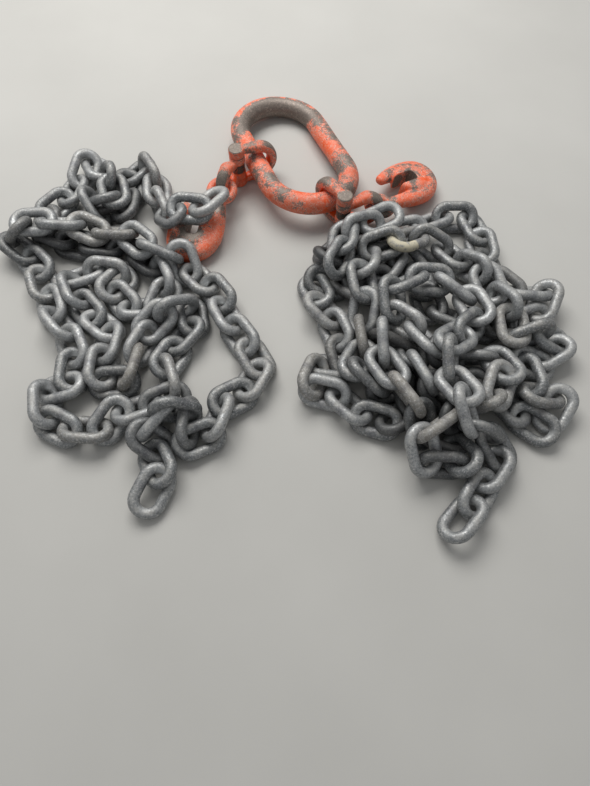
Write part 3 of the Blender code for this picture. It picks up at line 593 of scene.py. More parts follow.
# %% Pushes
class Touches(Neighbours):
    """Links that feel what they touch."""

    def wire_touches(self, start, end, radius):
        """Pushes between two links whose wires are too near."""
        a, b = nearest(start[self.one, self.one_piece], end[self.one, self.one_piece],
                       start[self.two, self.two_piece], end[self.two, self.two_piece])
        apart = length(a - b)
        depth = 2 * radius - self.overlap - apart
        hit = depth > 0
        way = unit(a - b, apart)[hit]
        return self.one[hit], self.two[hit], a[hit], b[hit], way, depth[hit]

    def fitting_touches(self, start, end, radius):
        """Pushes on links that are too near a fitting."""
        a, b = nearest(start[self.link, self.link_piece], end[self.link, self.link_piece],
                       self.part_from[self.part], self.part_to[self.part])
        apart = length(a - b)
        depth = radius + self.part_radius[self.part] + SETTLE_GAP - apart
        hit = depth > 0
        return self.link[hit], a[hit], unit(a - b, apart)[hit], depth[hit]

    def floor_touches(self, start, radius):
        """Pushes on links that are too near the floor."""
        link, corner = np.nonzero(start[:, :, 2] < radius)
        at = start[link, corner]
        up = np.zeros((len(link), 3))
        up[:, 2] = 1.0
        return link, at, up, radius - at[:, 2]


# %% [markdown]
# A chain holds together because each bow bears on the next. Where two bows have come apart, they are pulled
# back, and each leg's first link is kept on the bow that it hangs from.

# %% Pulls
class Pulls(Touches):
    """Links that stay in each other."""

    def joint_pulls(self, start, end, radius):
        """Pulls between consecutive links whose bows have come apart."""
        i = np.repeat(FREE_END, 3)
        j = np.tile(START_END, 3)
        a, b = nearest(start[self.before][:, i], end[self.before][:, i],
                       start[self.after][:, j], end[self.after][:, j])
        apart = length(a - b)
        row = np.arange(len(apart))
        least = apart.argmin(axis=1)
        a, b, apart = a[row, least], b[row, least], apart[row, least]
        meet = np.where(self.welded, 2 * radius - WELD, 2 * radius + SETTLE_GAP + CLEAR_ENOUGH)
        return self.before, self.after, a, b, unit(b - a, apart), np.maximum(apart - meet, 0)

    def hanger_pulls(self, start, end, radius):
        """Keeps each leg's first link on the bow that it hangs from."""
        found = []
        for head, (bow_from, bow_to, bow_radius) in zip(self.heads, self.bows):
            i = np.repeat(START_END, len(bow_from))
            j = np.tile(np.arange(len(bow_from)), 3)
            a, b = nearest(start[head][i], end[head][i], bow_from[j], bow_to[j])
            apart = length(a - b)
            least = int(apart.argmin())
            loose = apart[least] - radius - bow_radius - SETTLE_GAP - CLEAR_ENOUGH
            found.append((head, a[least], (b[least] - a[least]) / max(apart[least], 1e-9), max(loose, 0)))
        return [np.array(column) for column in zip(*found)]


# %% [markdown]
# A push beside a link's middle also turns it. The lever rule shares each push between moving and turning.

# %% Moving and turning
class Presses(Pulls):
    """Links that give way."""

    def lever(self, body, at, way):
        """How a push at this point turns a link, and how much the point gives."""
        axes = self.axes[body]
        arm = cross(at - self.centre[body], way)
        local = rows(*[dot(axes[:, :, k], arm) for k in range(3)]) * self.ease
        turn = sum(axes[:, :, k] * local[:, k:k + 1] for k in range(3))
        return turn, 1 + dot(arm, turn)

    def press(self, strength, radius):
        """Moves every link a little out of what it touches and back to what it hangs on."""
        start, end = self.wires()
        touches = self.wire_touches(start, end, radius), self.joint_pulls(start, end, radius)
        one, two, at_one, at_two, way, need = [np.concatenate(column) for column in zip(*touches)]
        holds = (self.fitting_touches(start, end, radius), self.floor_touches(start, radius),
                 self.hanger_pulls(start, end, radius))
        held, at_held, way_held, need_held = [np.concatenate(column) for column in zip(*holds)]
        body = np.concatenate([one, two, held])
        ways = np.concatenate([way, -way, way_held])
        needs = np.concatenate([need, need, need_held])
        turn, give = self.lever(body, np.concatenate([at_one, at_two, at_held]), ways)
        both = give[:len(one)] + give[len(one):2 * len(one)]
        share = needs / np.concatenate([both, both, give[2 * len(one):]])
        weight = needs + 1e-6
        links = len(self.centre)
        total = np.bincount(body, weight, links)
        scale = np.where(total > 0, strength / np.maximum(total, 1e-15), 0)[:, None]
        push = weight * share
        move = rows(*[np.bincount(body, push * ways[:, k], links) for k in range(3)]) * scale
        spin = rows(*[np.bincount(body, push * turn[:, k], links) for k in range(3)]) * scale
        self.centre += capped(move, MOST_MOVE)
        self.roll(capped(spin, MOST_TURN))
        return needs.max()

    def roll(self, spin):
        """Turns the links, keeping their axes square."""
        first = self.axes[:, :, 0] + cross(spin, self.axes[:, :, 0])
        second = self.axes[:, :, 1] + cross(spin, self.axes[:, :, 1])
        first = first / length(first)[:, None]
        second = second - first * dot(first, second)[:, None]
        second = second / length(second)[:, None]
        self.axes = rows(first, second, cross(first, second))


# %% [markdown]
# The last skill is the whole laying: grow the wires to full thickness, let the heap sink, then clear it.

# %% Laying the heap
class Heap(Presses):
    """The two legs, laid down."""

    def draw_home(self, share, most, upright):
        """Pulls the links a little toward where the photo shows them."""
        pull = (self.home - self.centre) * share
        pull[:, 2] *= upright
        self.centre += capped(pull, most)

    def lay(self):
        """Fills out the wires, sinks the heap and clears what still touches."""
        for step in range(FILL_STEPS):
            if step % 4 == 0:
                self.look(FILL_LOOK)
            self.draw_home(FILL_HOME, FILL_STEP, 1.0)
            for _ in range(FILL_PRESSES):
                self.press(FILL_STRENGTH, REACH * min(1.0, FILL_FROM + step / FILL_OVER))
        for step in range(SINK_STEPS):
            if step % 4 == 0:
                self.look(SINK_LOOK)
            left = 1 - step / SINK_STEPS
            self.centre[:, 2] -= (SINK_FAST * left * left + SINK_SLOW) * WIRE
            self.draw_home(SINK_HOME, (0.5 * SINK_FAST * left + SINK_SLOW) * WIRE, 0.0)
            for _ in range(SINK_PRESSES):
                self.press(SINK_STRENGTH, REACH)
        for step in range(CLEAR_STEPS):
            if step % 6 == 0:
                self.look(CLEAR_LOOK)
            worst = self.press(CLEAR_STRENGTH if step < CLEAR_EARLY else CLEAR_LATE_STRENGTH, REACH)
            if worst < CLEAR_ENOUGH:
                break
        print("heap cleared to", round(worst / MM, 3), "mm in", step + 1, "steps")


# %% [markdown]
# The fittings go in as fixed bars that the links must lie clear of.

# %% The fittings as bars
def wires_of(path, plane, radii, closed=False):
    """A bent wire's straight pieces, for the laying rule."""
    points = [plane.at(a, b) for a, b in path]
    thick = [(r + t) / 2 for r, t in zip(radii, list(radii[1:]) + [radii[0]])]
    pieces = list(zip(points, points[1:] + points[:1], thick))
    return pieces if closed else pieces[:-1]


def hook_wires(plane):
    """The hook as straight pieces, with the saddle as a cross of two."""
    line = [(a, b) for a, b, radius in HOOK_BODY]
    pieces = wires_of(line, plane, [radius for a, b, radius in HOOK_BODY])
    half = SADDLE_RADIUS - SADDLE_THICK / 2
    a, b, radius = SADDLE_ALONG, SADDLE_ACROSS, SADDLE_THICK / 2 + SADDLE_ROOM
    pieces.append((plane.at(a - half, b), plane.at(a + half, b), radius))
    pieces.append((plane.at(a, b - half), plane.at(a, b + half), radius))
    ring = hook_eye(6)
    return pieces + wires_of(ring, plane, [HOOK_EYE_WIRE / 2] * len(ring), closed=True)


# %% Both sides of the sling
sides = {}
fittings = wires_of(master_loop(), ring_plane, [MASTER_WIRE / 2] * len(master_loop()), closed=True)
upper_path, upper_radii = half_path(UPPER_ARM, UPPER_BOW_RADIUS, UPPER_BOW_REACH)
lower_path, lower_radii = half_path(LOWER_ARM, LOWER_BOW_RADIUS, LOWER_BOW_REACH)
broad_upper = [r * COUPLING_BROAD for r in upper_radii]
broad_lower = [r * COUPLING_BROAD for r in lower_radii]
bows, legs = [], []
for side, (pin, toward_ring), leg_turn, hook_turn, hook_side, route, route_pin in (
        ("left", left_joint, LEFT_LEG_DEG, LEFT_HOOK_DEG, -1, LEFT_ROUTE_PX, LEFT_ROUTE_PIN),
        ("right", right_joint, RIGHT_LEG_DEG, RIGHT_HOOK_DEG, 1, RIGHT_ROUTE_PX, RIGHT_ROUTE_PIN)):
    middle = np.array((pin[0], pin[1], STACK))
    upper = standing_plane(middle, toward_ring)
    lower = standing_plane(middle, (*turned(leg_turn), 0.0))
    hook = hook_plane(lower, hook_turn, hook_side)
    sides[side] = {"upper": upper, "lower": lower, "pin": level_plane(middle, leg_turn), "hook": hook}
    lower_wires = wires_of(lower_path, lower, broad_lower)
    pin_end = STACK - EYE_RADIUS
    pin_stack = (upper.at(0, -pin_end), upper.at(0, pin_end), EYE_RADIUS + FLOOR_PLAY)
    fittings += wires_of(upper_path, upper, broad_upper) + lower_wires + [pin_stack] + hook_wires(hook)
    bow_from, bow_to, thick = zip(*lower_wires[3:-3])
    bows.append((np.array(bow_from), np.array(bow_to), max(thick)))
    legs.append(links_along(route, pin, route_pin))
    print("links in the", side, "leg:", len(legs[-1][0]))
heap = Heap(legs, fittings, bows)
heap.lay()

# %% [markdown]
# The routes were read from below the camera, and the CAD model stands with its origin under its middle. The
# ring's centre is known in both, and the difference moves everything.

# %% From the picture's frame to the model's
ring_low, ring_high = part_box("master_link")
SHIFT = np.array((ring_low + ring_high) / 2) - ring_plane.origin
print("shift, mm:", [round(float(1000 * s), 2) for s in SHIFT])


def seat(plane):
    """The matrix that puts a piece drawn in this plane into the model."""
    return Matrix.Translation(Vector([float(s) for s in SHIFT])) @ plane.matrix()


# %% [markdown]
# ## Camera, floor and light
# The camera stands where the picture was taken: above the near edge, tipped down. The lens follows from the
# focal length in pixels. The floor is a plain pale sheet. Overcast daylight has one broad soft source above
# and light from everywhere else, so a wide area lamp and a bright world are enough.

# %% Camera
SENSOR = 36.0


def put_in_scene(name, data):
    """An object made from this data and linked to the scene."""
    made = bpy.data.objects.new(name, data)
    bpy.context.scene.collection.objects.link(made)
    return made


lens = bpy.data.cameras.new("sling_view")
lens.sensor_fit = "HORIZONTAL"
lens.sensor_width = SENSOR
lens.lens = SENSOR * FOCAL_PX / PICTURE[0]
lens.clip_start = 0.01
camera = put_in_scene("sling_view", lens)
camera.location = (float(SHIFT[0]), float(SHIFT[1]), EYE_HEIGHT + float(SHIFT[2]))
camera.rotation_euler = (float(np.radians(TILT_DEG)), 0.0, 0.0)
bpy.context.scene.camera = camera
print("camera at, m:", [round(c, 3) for c in camera.location], "lens, mm:", round(lens.lens, 1))

# %% [markdown]
# One small function adds a node with its settings and its links, and every material below is made with it.
# Colours are written as they look on a screen, and turned to linear light once.

# %% Nodes and colours
def node(tree, kind, settings=None, sockets=None):
    """Adds a shader node. A socket's value is a number, a colour or the output that feeds it."""
    made = tree.nodes.new("ShaderNode" + kind)
    for name, value in (settings or {}).items():
        setattr(made, name, value)
    for key, value in (sockets or {}).items():
        if isinstance(value, bpy.types.NodeSocket):
            tree.links.new(value, made.inputs[key])
        else:
            made.inputs[key].default_value = value
    return made.outputs


def linear(code):
    """An sRGB hex colour as linear light, with alpha."""
    parts = [int(code[k:k + 2], 16) / 255 for k in (1, 3, 5)]
    return tuple(p / 12.92 if p <= 0.04045 else ((p + 0.055) / 1.055) ** 2.4 for p in parts) + (1.0,)


def fresh_material(name):
    """A new node material with its tree and its main shader."""
    material = bpy.data.materials.new(name)
    material.use_nodes = True
    return material, material.node_tree, material.node_tree.nodes["Principled BSDF"]


print("mid grey in linear light:", [round(v, 3) for v in linear("#808080")[:3]])

# %% [markdown]
# The floor is a studio floor: matt paint with a faint roller texture of about 4 mm and clouds of about
# 350 mm, so that it is not a dead flat colour.

# %% Floor
FLOOR_SIZE = 8.0


def mesh_of(name, points, faces):
    """A mesh from points and the faces between them."""
    data = bpy.data.meshes.new(name)
    data.from_pydata(np.asarray(points, float).reshape(-1, 3).tolist(), [], faces)
    return data


floor_paint, tree, shader = fresh_material("matt_floor_paint_rolled")
place = node(tree, "TexCoord")["Object"]
cloud = node(tree, "TexNoise", None, {"Vector": place, "Scale": 1 / 0.35, "Detail": 5.0})["Fac"]
tone = node(tree, "Mix", {"data_type": "RGBA"}, {0: cloud, 6: linear("#b4b3af"), 7: linear("#c2c1bd")})[2]
stipple = node(tree, "TexNoise", None, {"Vector": place, "Scale": 1 / 0.004, "Detail": 2.0})["Fac"]
relief = node(tree, "Bump", None, {"Height": stipple, "Strength": 0.15, "Distance": 0.0005})["Normal"]
tree.links.new(tone, shader.inputs["Base Color"])
tree.links.new(relief, shader.inputs["Normal"])
shader.inputs["Roughness"].default_value = 0.85
shader.inputs["Specular IOR Level"].default_value = 0.3
half = FLOOR_SIZE / 2
sheet = mesh_of("studio_floor", [(-half, -half, 0), (half, -half, 0), (half, half, 0), (-half, half, 0)],
                [(0, 1, 2, 3)])
sheet.materials.append(floor_paint)
put_in_scene("studio_floor", sheet)
print("floor's sides, m:", FLOOR_SIZE)

# %% Light
LAMP_AT = (-0.5, 1.7, 2.6)
LAMP_AIM = (0.0, 0.1, 0.0)
lamp_data = bpy.data.lights.new("overcast_window", "AREA")
lamp_data.shape = "RECTANGLE"
lamp_data.size = 2.6
lamp_data.size_y = 1.8
lamp_data.energy = 100.0
lamp_data.color = (1.0, 0.985, 0.96)
lamp = put_in_scene("overcast_window", lamp_data)
lamp.location = LAMP_AT
lamp.rotation_euler = (Vector(LAMP_AIM) - Vector(LAMP_AT)).to_track_quat("-Z", "Y").to_euler()
world = bpy.data.worlds.new("overcast_sky")
world.use_nodes = True
world.node_tree.nodes["Background"].inputs["Color"].default_value = linear("#e4e5e6")
world.node_tree.nodes["Background"].inputs["Strength"].default_value = 0.5
bpy.context.scene.world = world
bpy.context.scene.view_settings.view_transform = "Standard"
print("lamp's power, W:", lamp_data.energy)

# %% [markdown]
# ## The chain's steel
# Lifting chain is alloy steel wire, bent, flash welded, then hardened in a furnace. Its skin is a thin grey
# scale, rubbed paler where links rub and dulled by dust from the floor. Scale is not bare metal, so only part
# of the light comes back as from metal: broad soft highlights, a mottled grey body, pale and dark specks, and
# a few brown links where rust has started.
# Each link carries numbers of its own, written on its points: how pale it is, how rusty, and whether someone
# has marked it with paint. A second set says where its bows bear, where its weld is and its painted shade.

# %% Chain steel
def chain_steel():
    """Hardened chain wire: grey scale with pits, rust, wear, dust, one paint mark and painted shade under other
    links.
    """
    material, tree, shader = fresh_material("hardened_alloy_steel_scaled_and_dusty")
    place = node(tree, "TexCoord")["Object"]
    look = node(tree, "Attribute", {"attribute_name": "link_look"})
    own = node(tree, "SeparateColor", None, {0: look["Color"]})
    rusty, cream = own[1], own[2]
    marks = node(tree, "SeparateColor", None,
                 {0: node(tree, "Attribute", {"attribute_name": "link_marks"})["Color"]})
    seat_wear, weld, painted_shade = marks[0], marks[1], marks[2]
    # mottled scale, patches of about 12 mm, and each link's own tone
    mottle = node(tree, "TexNoise", None, {"Vector": place, "Scale": 1 / 0.012, "Detail": 6.0,
                                           "Roughness": 0.62})["Fac"]
    tone = node(tree, "Math", {"operation": "MULTIPLY_ADD"}, {0: mottle, 1: 0.5, 2: own[0]})[0]
    share = node(tree, "MapRange", None, {0: tone, 1: 0.0, 2: 0.75})[0]
    body = node(tree, "Mix", {"data_type": "RGBA"}, {0: share, 6: linear("#6e7173"), 7: linear("#abadae")})[2]
    # dark pits and pale grit, really under 1 mm, drawn about 4 mm across so that they show
    grit = node(tree, "TexNoise", None, {"Vector": place, "Scale": 1 / 0.0043, "Detail": 4.0,
                                         "Roughness": 0.8})["Fac"]
    pits = node(tree, "MapRange", None, {0: grit, 1: 0.46, 2: 0.4, 4: 0.5})[0]
    body = node(tree, "Mix", {"data_type": "RGBA"}, {0: pits, 6: body, 7: linear("#454543")})[2]
    # rust bloom, patches of about 8 mm
    bloom = node(tree, "TexNoise", None, {"Vector": place, "Scale": 1 / 0.008, "Detail": 5.0})["Fac"]
    bloom = node(tree, "Math", {"operation": "MULTIPLY_ADD"}, {0: bloom, 1: 0.8, 2: rusty})[0]
    rust = node(tree, "MapRange", None, {0: bloom, 1: 0.62, 2: 1.15, 4: 0.8})[0]
    body = node(tree, "Mix", {"data_type": "RGBA"}, {0: rust, 6: body, 7: linear("#7f7970")})[2]
    specks = node(tree, "MapRange", None, {0: grit, 1: 0.555, 2: 0.61, 4: 0.48})[0]
    body = node(tree, "Mix", {"data_type": "RGBA"}, {0: specks, 6: body, 7: linear("#d8d6d2")})[2]
    # bright steel where bows bear and where links knock together: nicks of about 7 mm
    knock = node(tree, "TexNoise", None, {"Vector": place, "Scale": 1 / 0.007, "Detail": 6.0,
                                          "Roughness": 0.75})["Fac"]
    nick = node(tree, "MapRange", None, {0: knock, 1: 0.61, 2: 0.66})[0]
    bright = node(tree, "Math", {"operation": "MULTIPLY_ADD", "use_clamp": True},
                  {0: nick, 1: 0.75, 2: seat_wear})[0]
    body = node(tree, "Mix", {"data_type": "RGBA"}, {0: bright, 6: body, 7: linear("#d2d4d4")})[2]
    # dust lies on what faces up, in drifts of about 20 mm broken by finer grains
    facing = node(tree, "SeparateXYZ", None, {0: node(tree, "NewGeometry")["Normal"]})[2]
    drift = node(tree, "TexNoise", None, {"Vector": place, "Scale": 1 / 0.02, "Detail": 8.0,
                                          "Roughness": 0.7})["Fac"]
    lies = node(tree, "Math", {"operation": "MULTIPLY"}, {0: facing, 1: drift})[0]
    dust = node(tree, "MapRange", None, {0: lies, 1: 0.36, 2: 0.7, 4: 0.6})[0]
    body = node(tree, "Mix", {"data_type": "RGBA"}, {0: dust, 6: body, 7: linear("#b4b2ac")})[2]
    # the heat tint beside the weld
    body = node(tree, "Mix", {"data_type": "RGBA"},
                {0: node(tree, "Math", {"operation": "MULTIPLY"}, {0: weld, 1: 0.35})[0], 6: body,
                 7: linear("#4b4a52")})[2]
    # painted shade: links that lie under others are darkened toward near black
    body = node(tree, "Mix", {"data_type": "RGBA"},
                {0: node(tree, "Math", {"operation": "MULTIPLY"}, {0: painted_shade, 1: 0.7})[0], 6: body,
                 7: linear("#2c2c2d")})[2]
    # an old paint mark on one link, chipped at about 9 mm
    chips = node(tree, "TexNoise", None, {"Vector": place, "Scale": 1 / 0.009, "Detail": 7.0,
                                          "Roughness": 0.65})["Fac"]
    chips = node(tree, "Math", {"operation": "MULTIPLY_ADD"}, {0: chips, 1: -1.6, 2: 1.25})[0]
    paint = node(tree, "Math", {"operation": "MULTIPLY", "use_clamp": True}, {0: chips, 1: cream})[0]
    paint = node(tree, "MapRange", None, {0: paint, 1: 0.25, 2: 0.4})[0]
    body = node(tree, "Mix", {"data_type": "RGBA"}, {0: paint, 6: body, 7: linear("#c3bca6")})[2]
    tree.links.new(body, shader.inputs["Base Color"])
    cover = node(tree, "Math", {"operation": "MAXIMUM"},
                 {0: node(tree, "Math", {"operation": "MAXIMUM"}, {0: dust, 1: rust})[0], 1: paint})[0]
    tree.links.new(node(tree, "MapRange", None, {0: cover, 3: 0.5, 4: 0.05})[0], shader.inputs["Metallic"])
    rough = node(tree, "MapRange", None, {0: grit, 1: 0.35, 2: 0.65, 3: 0.56, 4: 0.3})[0]
    rough = node(tree, "Mix", None, {0: cover, 2: rough, 3: 0.85})[0]
    rough = node(tree, "Mix", None, {0: bright, 2: rough, 3: 0.34})[0]
    tree.links.new(rough, shader.inputs["Roughness"])
    # dents of about 12 mm under a skin with the same grit
    dents = node(tree, "Bump", None, {"Height": mottle, "Strength": 0.55, "Distance": 0.0012})["Normal"]
    grain = node(tree, "Bump", None, {"Height": grit, "Strength": 0.6, "Distance": 0.0008,
                                      "Normal": dents})["Normal"]
    tree.links.new(grain, shader.inputs["Normal"])
    return material


link_steel = chain_steel()
print("chain steel nodes:", len(link_steel.node_tree.nodes))

# %% [markdown]
# ## The links
# A link is a round wire bent to a stadium, so a circle swept round that line is the whole shape. A curve
# object with a bevel would do it, but the wire also swells at its weld and each link is a little uneven, so
# the rings of points are computed. The same sweep later makes the ring and the bars of the forgings.

# %% A bar swept along a flat line
def bar_points(path, wide, tall, sides, squareness=2.0, closed=False):
    """Rings of points round a flat line: wide in its plane and tall out of it. 2 is round, 3 is squarer."""
    path = np.array(path, float)
    wide = np.broadcast_to(wide, len(path))
    tall = np.broadcast_to(tall, len(path))
    ahead = np.roll(path, -1, 0) - np.roll(path, 1, 0) if closed else np.gradient(path, axis=0)
    ahead = ahead / np.hypot(ahead[:, 0], ahead[:, 1])[:, None]
    angle = np.arange(sides) * (2 * np.pi / sides)
    c, s = np.cos(angle), np.sin(angle)
    size = (np.abs(c) ** squareness + np.abs(s) ** squareness) ** (-1 / squareness)
    out = wide[:, None] * c * size
    up = tall[:, None] * s * size
    return rows(path[:, :1] + ahead[:, 1:] * out, path[:, 1:] - ahead[:, :1] * out, up)


def ring_faces(rings, sides, closed):
    """Four-cornered faces between neighbouring rings of points, with an end cap at each open end."""
    ring = np.arange(rings if closed else rings - 1)[:, None]
    here, there = ring * sides, (ring + 1) % rings * sides
    side = np.arange(sides)
    beside = (side + 1) % sides
    faces = np.stack([here + side, there + side, there + beside, here + beside], axis=-1)
    faces = faces.reshape(-1, 4).tolist()
    if not closed:
        faces.append(list(range(sides)))
        faces.append([(rings - 1) * sides + k for k in reversed(range(sides))])
    return faces


# %% One link
LINK_RINGS_ROUND = 16
LINK_RINGS_STRAIGHT = 10
LINK_SIDES = 18
SEAT_REACH = 0.001


def link_line():
    """A stadium, and how far each of its points is from the weld and from the nearer crown."""
    bow_radius = (LINK_WIDTH - WIRE) / 2
    centre = PITCH / 2 + REACH + SEAT_REACH - bow_radius
    straight = np.linspace(-centre, centre, LINK_RINGS_STRAIGHT, endpoint=False)
    angle = np.linspace(np.pi / 2, -np.pi / 2, LINK_RINGS_ROUND, endpoint=False)
    upper = rows(straight, np.full(len(straight), bow_radius))
    turn = rows(centre + bow_radius * np.cos(angle), bow_radius * np.sin(angle))
    half_line = np.vstack([upper, turn])
    line = np.vstack([half_line, -half_line])
    crown = np.hypot(np.abs(line[:, 0]) - centre - bow_radius, line[:, 1])
    weld = np.hypot(line[:, 0], line[:, 1] + bow_radius)
    return line, crown, weld


line, crown_far, weld_far = link_line()
print("points along a link:", len(line), "link length, mm:", round(1000 * (np.ptp(line[:, 0]) + WIRE), 1))

# %% [markdown]
# Rolled wire may run five percent over its nominal size, and this wire nearly does. Where it was welded it is
# a little thicker still, and where two bows bear the scale is rubbed bright and the wire a little thinner. Each
# link gets its own small waves in thickness. A seeded generator gives the same waves on every run.

# %% A soft step
def smooth_step(value, low, high):
    """0 below low, 1 above high, and a smooth rise between."""
    share = np.clip((value - low) / (high - low), 0, 1)
    return share * share * (3 - 2 * share)


# %% The points of every link
WIRE_OVER = 1.04
WELD_SWELL = 0.016
WELD_WIDE = 0.0065
SEAT_THIN = 0.03
SEAT_WIDE = 0.6 * WIRE
WAVE = 0.006
chance = np.random.default_rng(176)


def link_points():
    """One link's points in its own frame, with its wear at the seats and its weld as a share."""
    wave = sum(np.sin(k * np.linspace(0, 2 * np.pi, len(line), endpoint=False) + chance.uniform(0, 6.28)) / k
               for k in (2, 3, 5)) * WAVE
    weld = np.exp(-(weld_far / WELD_WIDE) ** 2)
    seat_share = np.exp(-(crown_far / SEAT_WIDE) ** 2)
    thick = WIRE / 2 * WIRE_OVER * (1 + wave + WELD_SWELL * weld - SEAT_THIN * seat_share)
    points = bar_points(line, thick, thick, LINK_SIDES, closed=True)
    inner = 0.5 + 0.5 * np.cos(np.arange(LINK_SIDES) * (2 * np.pi / LINK_SIDES))
    rub = seat_share[:, None] * inner ** 3
    return points.reshape(-1, 3), rub.ravel(), np.repeat(weld, LINK_SIDES)


# %% [markdown]
# Some links are known by sight: one carries an old cream paint mark on one bow, a few are brown, a few are
# pale. Each is found by looking where it shows in the picture and taking the topmost link there. A link with
# others above it gets painted shade, so the links that lie over each one are counted.

# %% Links known by sight
SHADE_REACH = 0.05
SHADE_STEP = 0.012
SHADE_COUNT = 2.0


def link_at(px, py, within=16.0):
    """The topmost link that shows near this place in the picture."""
    place = shown_at(heap.centre)
    near = np.hypot(place[:, 0] - px, place[:, 1] - py) < within
    return int(np.argmax(np.where(near, heap.centre[:, 2], -1.0)))


link_count = len(heap.centre)
pale = chance.uniform(-0.22, 0.32, link_count)
rusty = np.clip(chance.normal(0.14, 0.18, link_count), 0, 0.5)
marked = link_at(400, 235)
for px, py in ((412, 395), (424, 420), (119, 366), (372, 330)):
    rusty[link_at(px, py)] = 0.6
for px, py in ((300, 270), (459, 295), (89, 328)):
    pale[link_at(px, py)] = 0.4
# painted shade: each link is darkened by the share of links that lie over it
away = np.hypot(*(heap.centre[:, None, :2] - heap.centre[None, :, :2]).transpose(2, 0, 1))
above = heap.centre[None, :, 2] - heap.centre[:, None, 2] > SHADE_STEP
painted_shade = np.clip(np.sum((away < SHADE_REACH) & above, axis=1) / SHADE_COUNT, 0, 1)
print("cream link:", marked, "of", link_count, "buried links:", int(np.sum(painted_shade > 0.5)))

# %% [markdown]
# Five links become one mesh that stands for one CAD run. The numbers of each link go on its points as colour
# attributes, which the chain steel reads. The wire is drawn a little thicker than the outline that settled, so
# where a link lies on the floor its lowest points are set on it.

# %% The chain, run by run
def write_look(data, name, *columns):
    """Keeps up to three numbers a point where a material can read them."""
    filled = [np.asarray(column, float) for column in columns]
    filled += [np.zeros(len(filled[0]))] * (3 - len(filled)) + [np.ones(len(filled[0]))]
    attribute = data.attributes.new(name, "FLOAT_COLOR", "POINT")
    attribute.data.foreach_set("color", rows(*filled).ravel().astype(np.float32))


def add_piece(name, data, material, slot, *nodes):
    """Puts a finished mesh in the scene in place of its CAD nodes."""
    data.materials.clear()
    data.materials.append(material)
    data.shade_smooth()
    piece = put_in_scene(name, data)
    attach(piece, "root")
    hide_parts(*nodes)
    return piece


link_faces = np.array(ring_faces(len(line), LINK_SIDES, True))
faces_made = 0
for run in range(heap.run[-1] + 1):
    members = np.nonzero(heap.run == run)[0]
    side = "left" if members[0] < heap.heads[1] else "right"
    number = run + 1 - heap.run[heap.heads[("left", "right").index(side)]]
    points, faces, looks, spots = [], [], [], []
    for i in members:
        own, rub, weld = link_points()
        axes = heap.axes[i]
        turned_points = sum(axes[:, k] * own[:, k:k + 1] for k in range(3))
        faces.append(link_faces + len(own) * len(points))
        turned_points += heap.centre[i] + SHIFT
        turned_points[:, 2] = np.maximum(turned_points[:, 2], 0.0)
        points.append(turned_points)
        cream = smooth_step(-own[:, 0], -0.004, 0.014) * (i == marked)
        looks.append(rows(np.full(len(own), pale[i]), np.full(len(own), rusty[i]), cream))
        spots.append(rows(rub, weld, np.full(len(own), painted_shade[i])))
    name = f"links_{side}_{number:02d}"
    data = mesh_of(name, np.vstack(points), np.vstack(faces).tolist())
    write_look(data, "link_look", *np.vstack(looks).T)
    write_look(data, "link_marks", *np.vstack(spots).T)
    add_piece(name, data, link_steel, "chain_steel", f"chain_{side}_{number:02d}")
    faces_made += len(data.polygons)
print("faces in the chain:", faces_made)

# %% [markdown]
# ## Worn orange paint
# The forgings were painted orange after heat treatment. The paint is thick and bright where nothing rubs it,
# inside the bows. Elsewhere it is a duller coral, chalky in places, with specks and patches of bare brown grey
# steel, which run together on the outside of bends. The wear has sharp edges, because paint chips, and soft
# ones, because it also rubs thin.
# Three numbers on each point steer it: how bare, how sheltered and how dusty that place is.

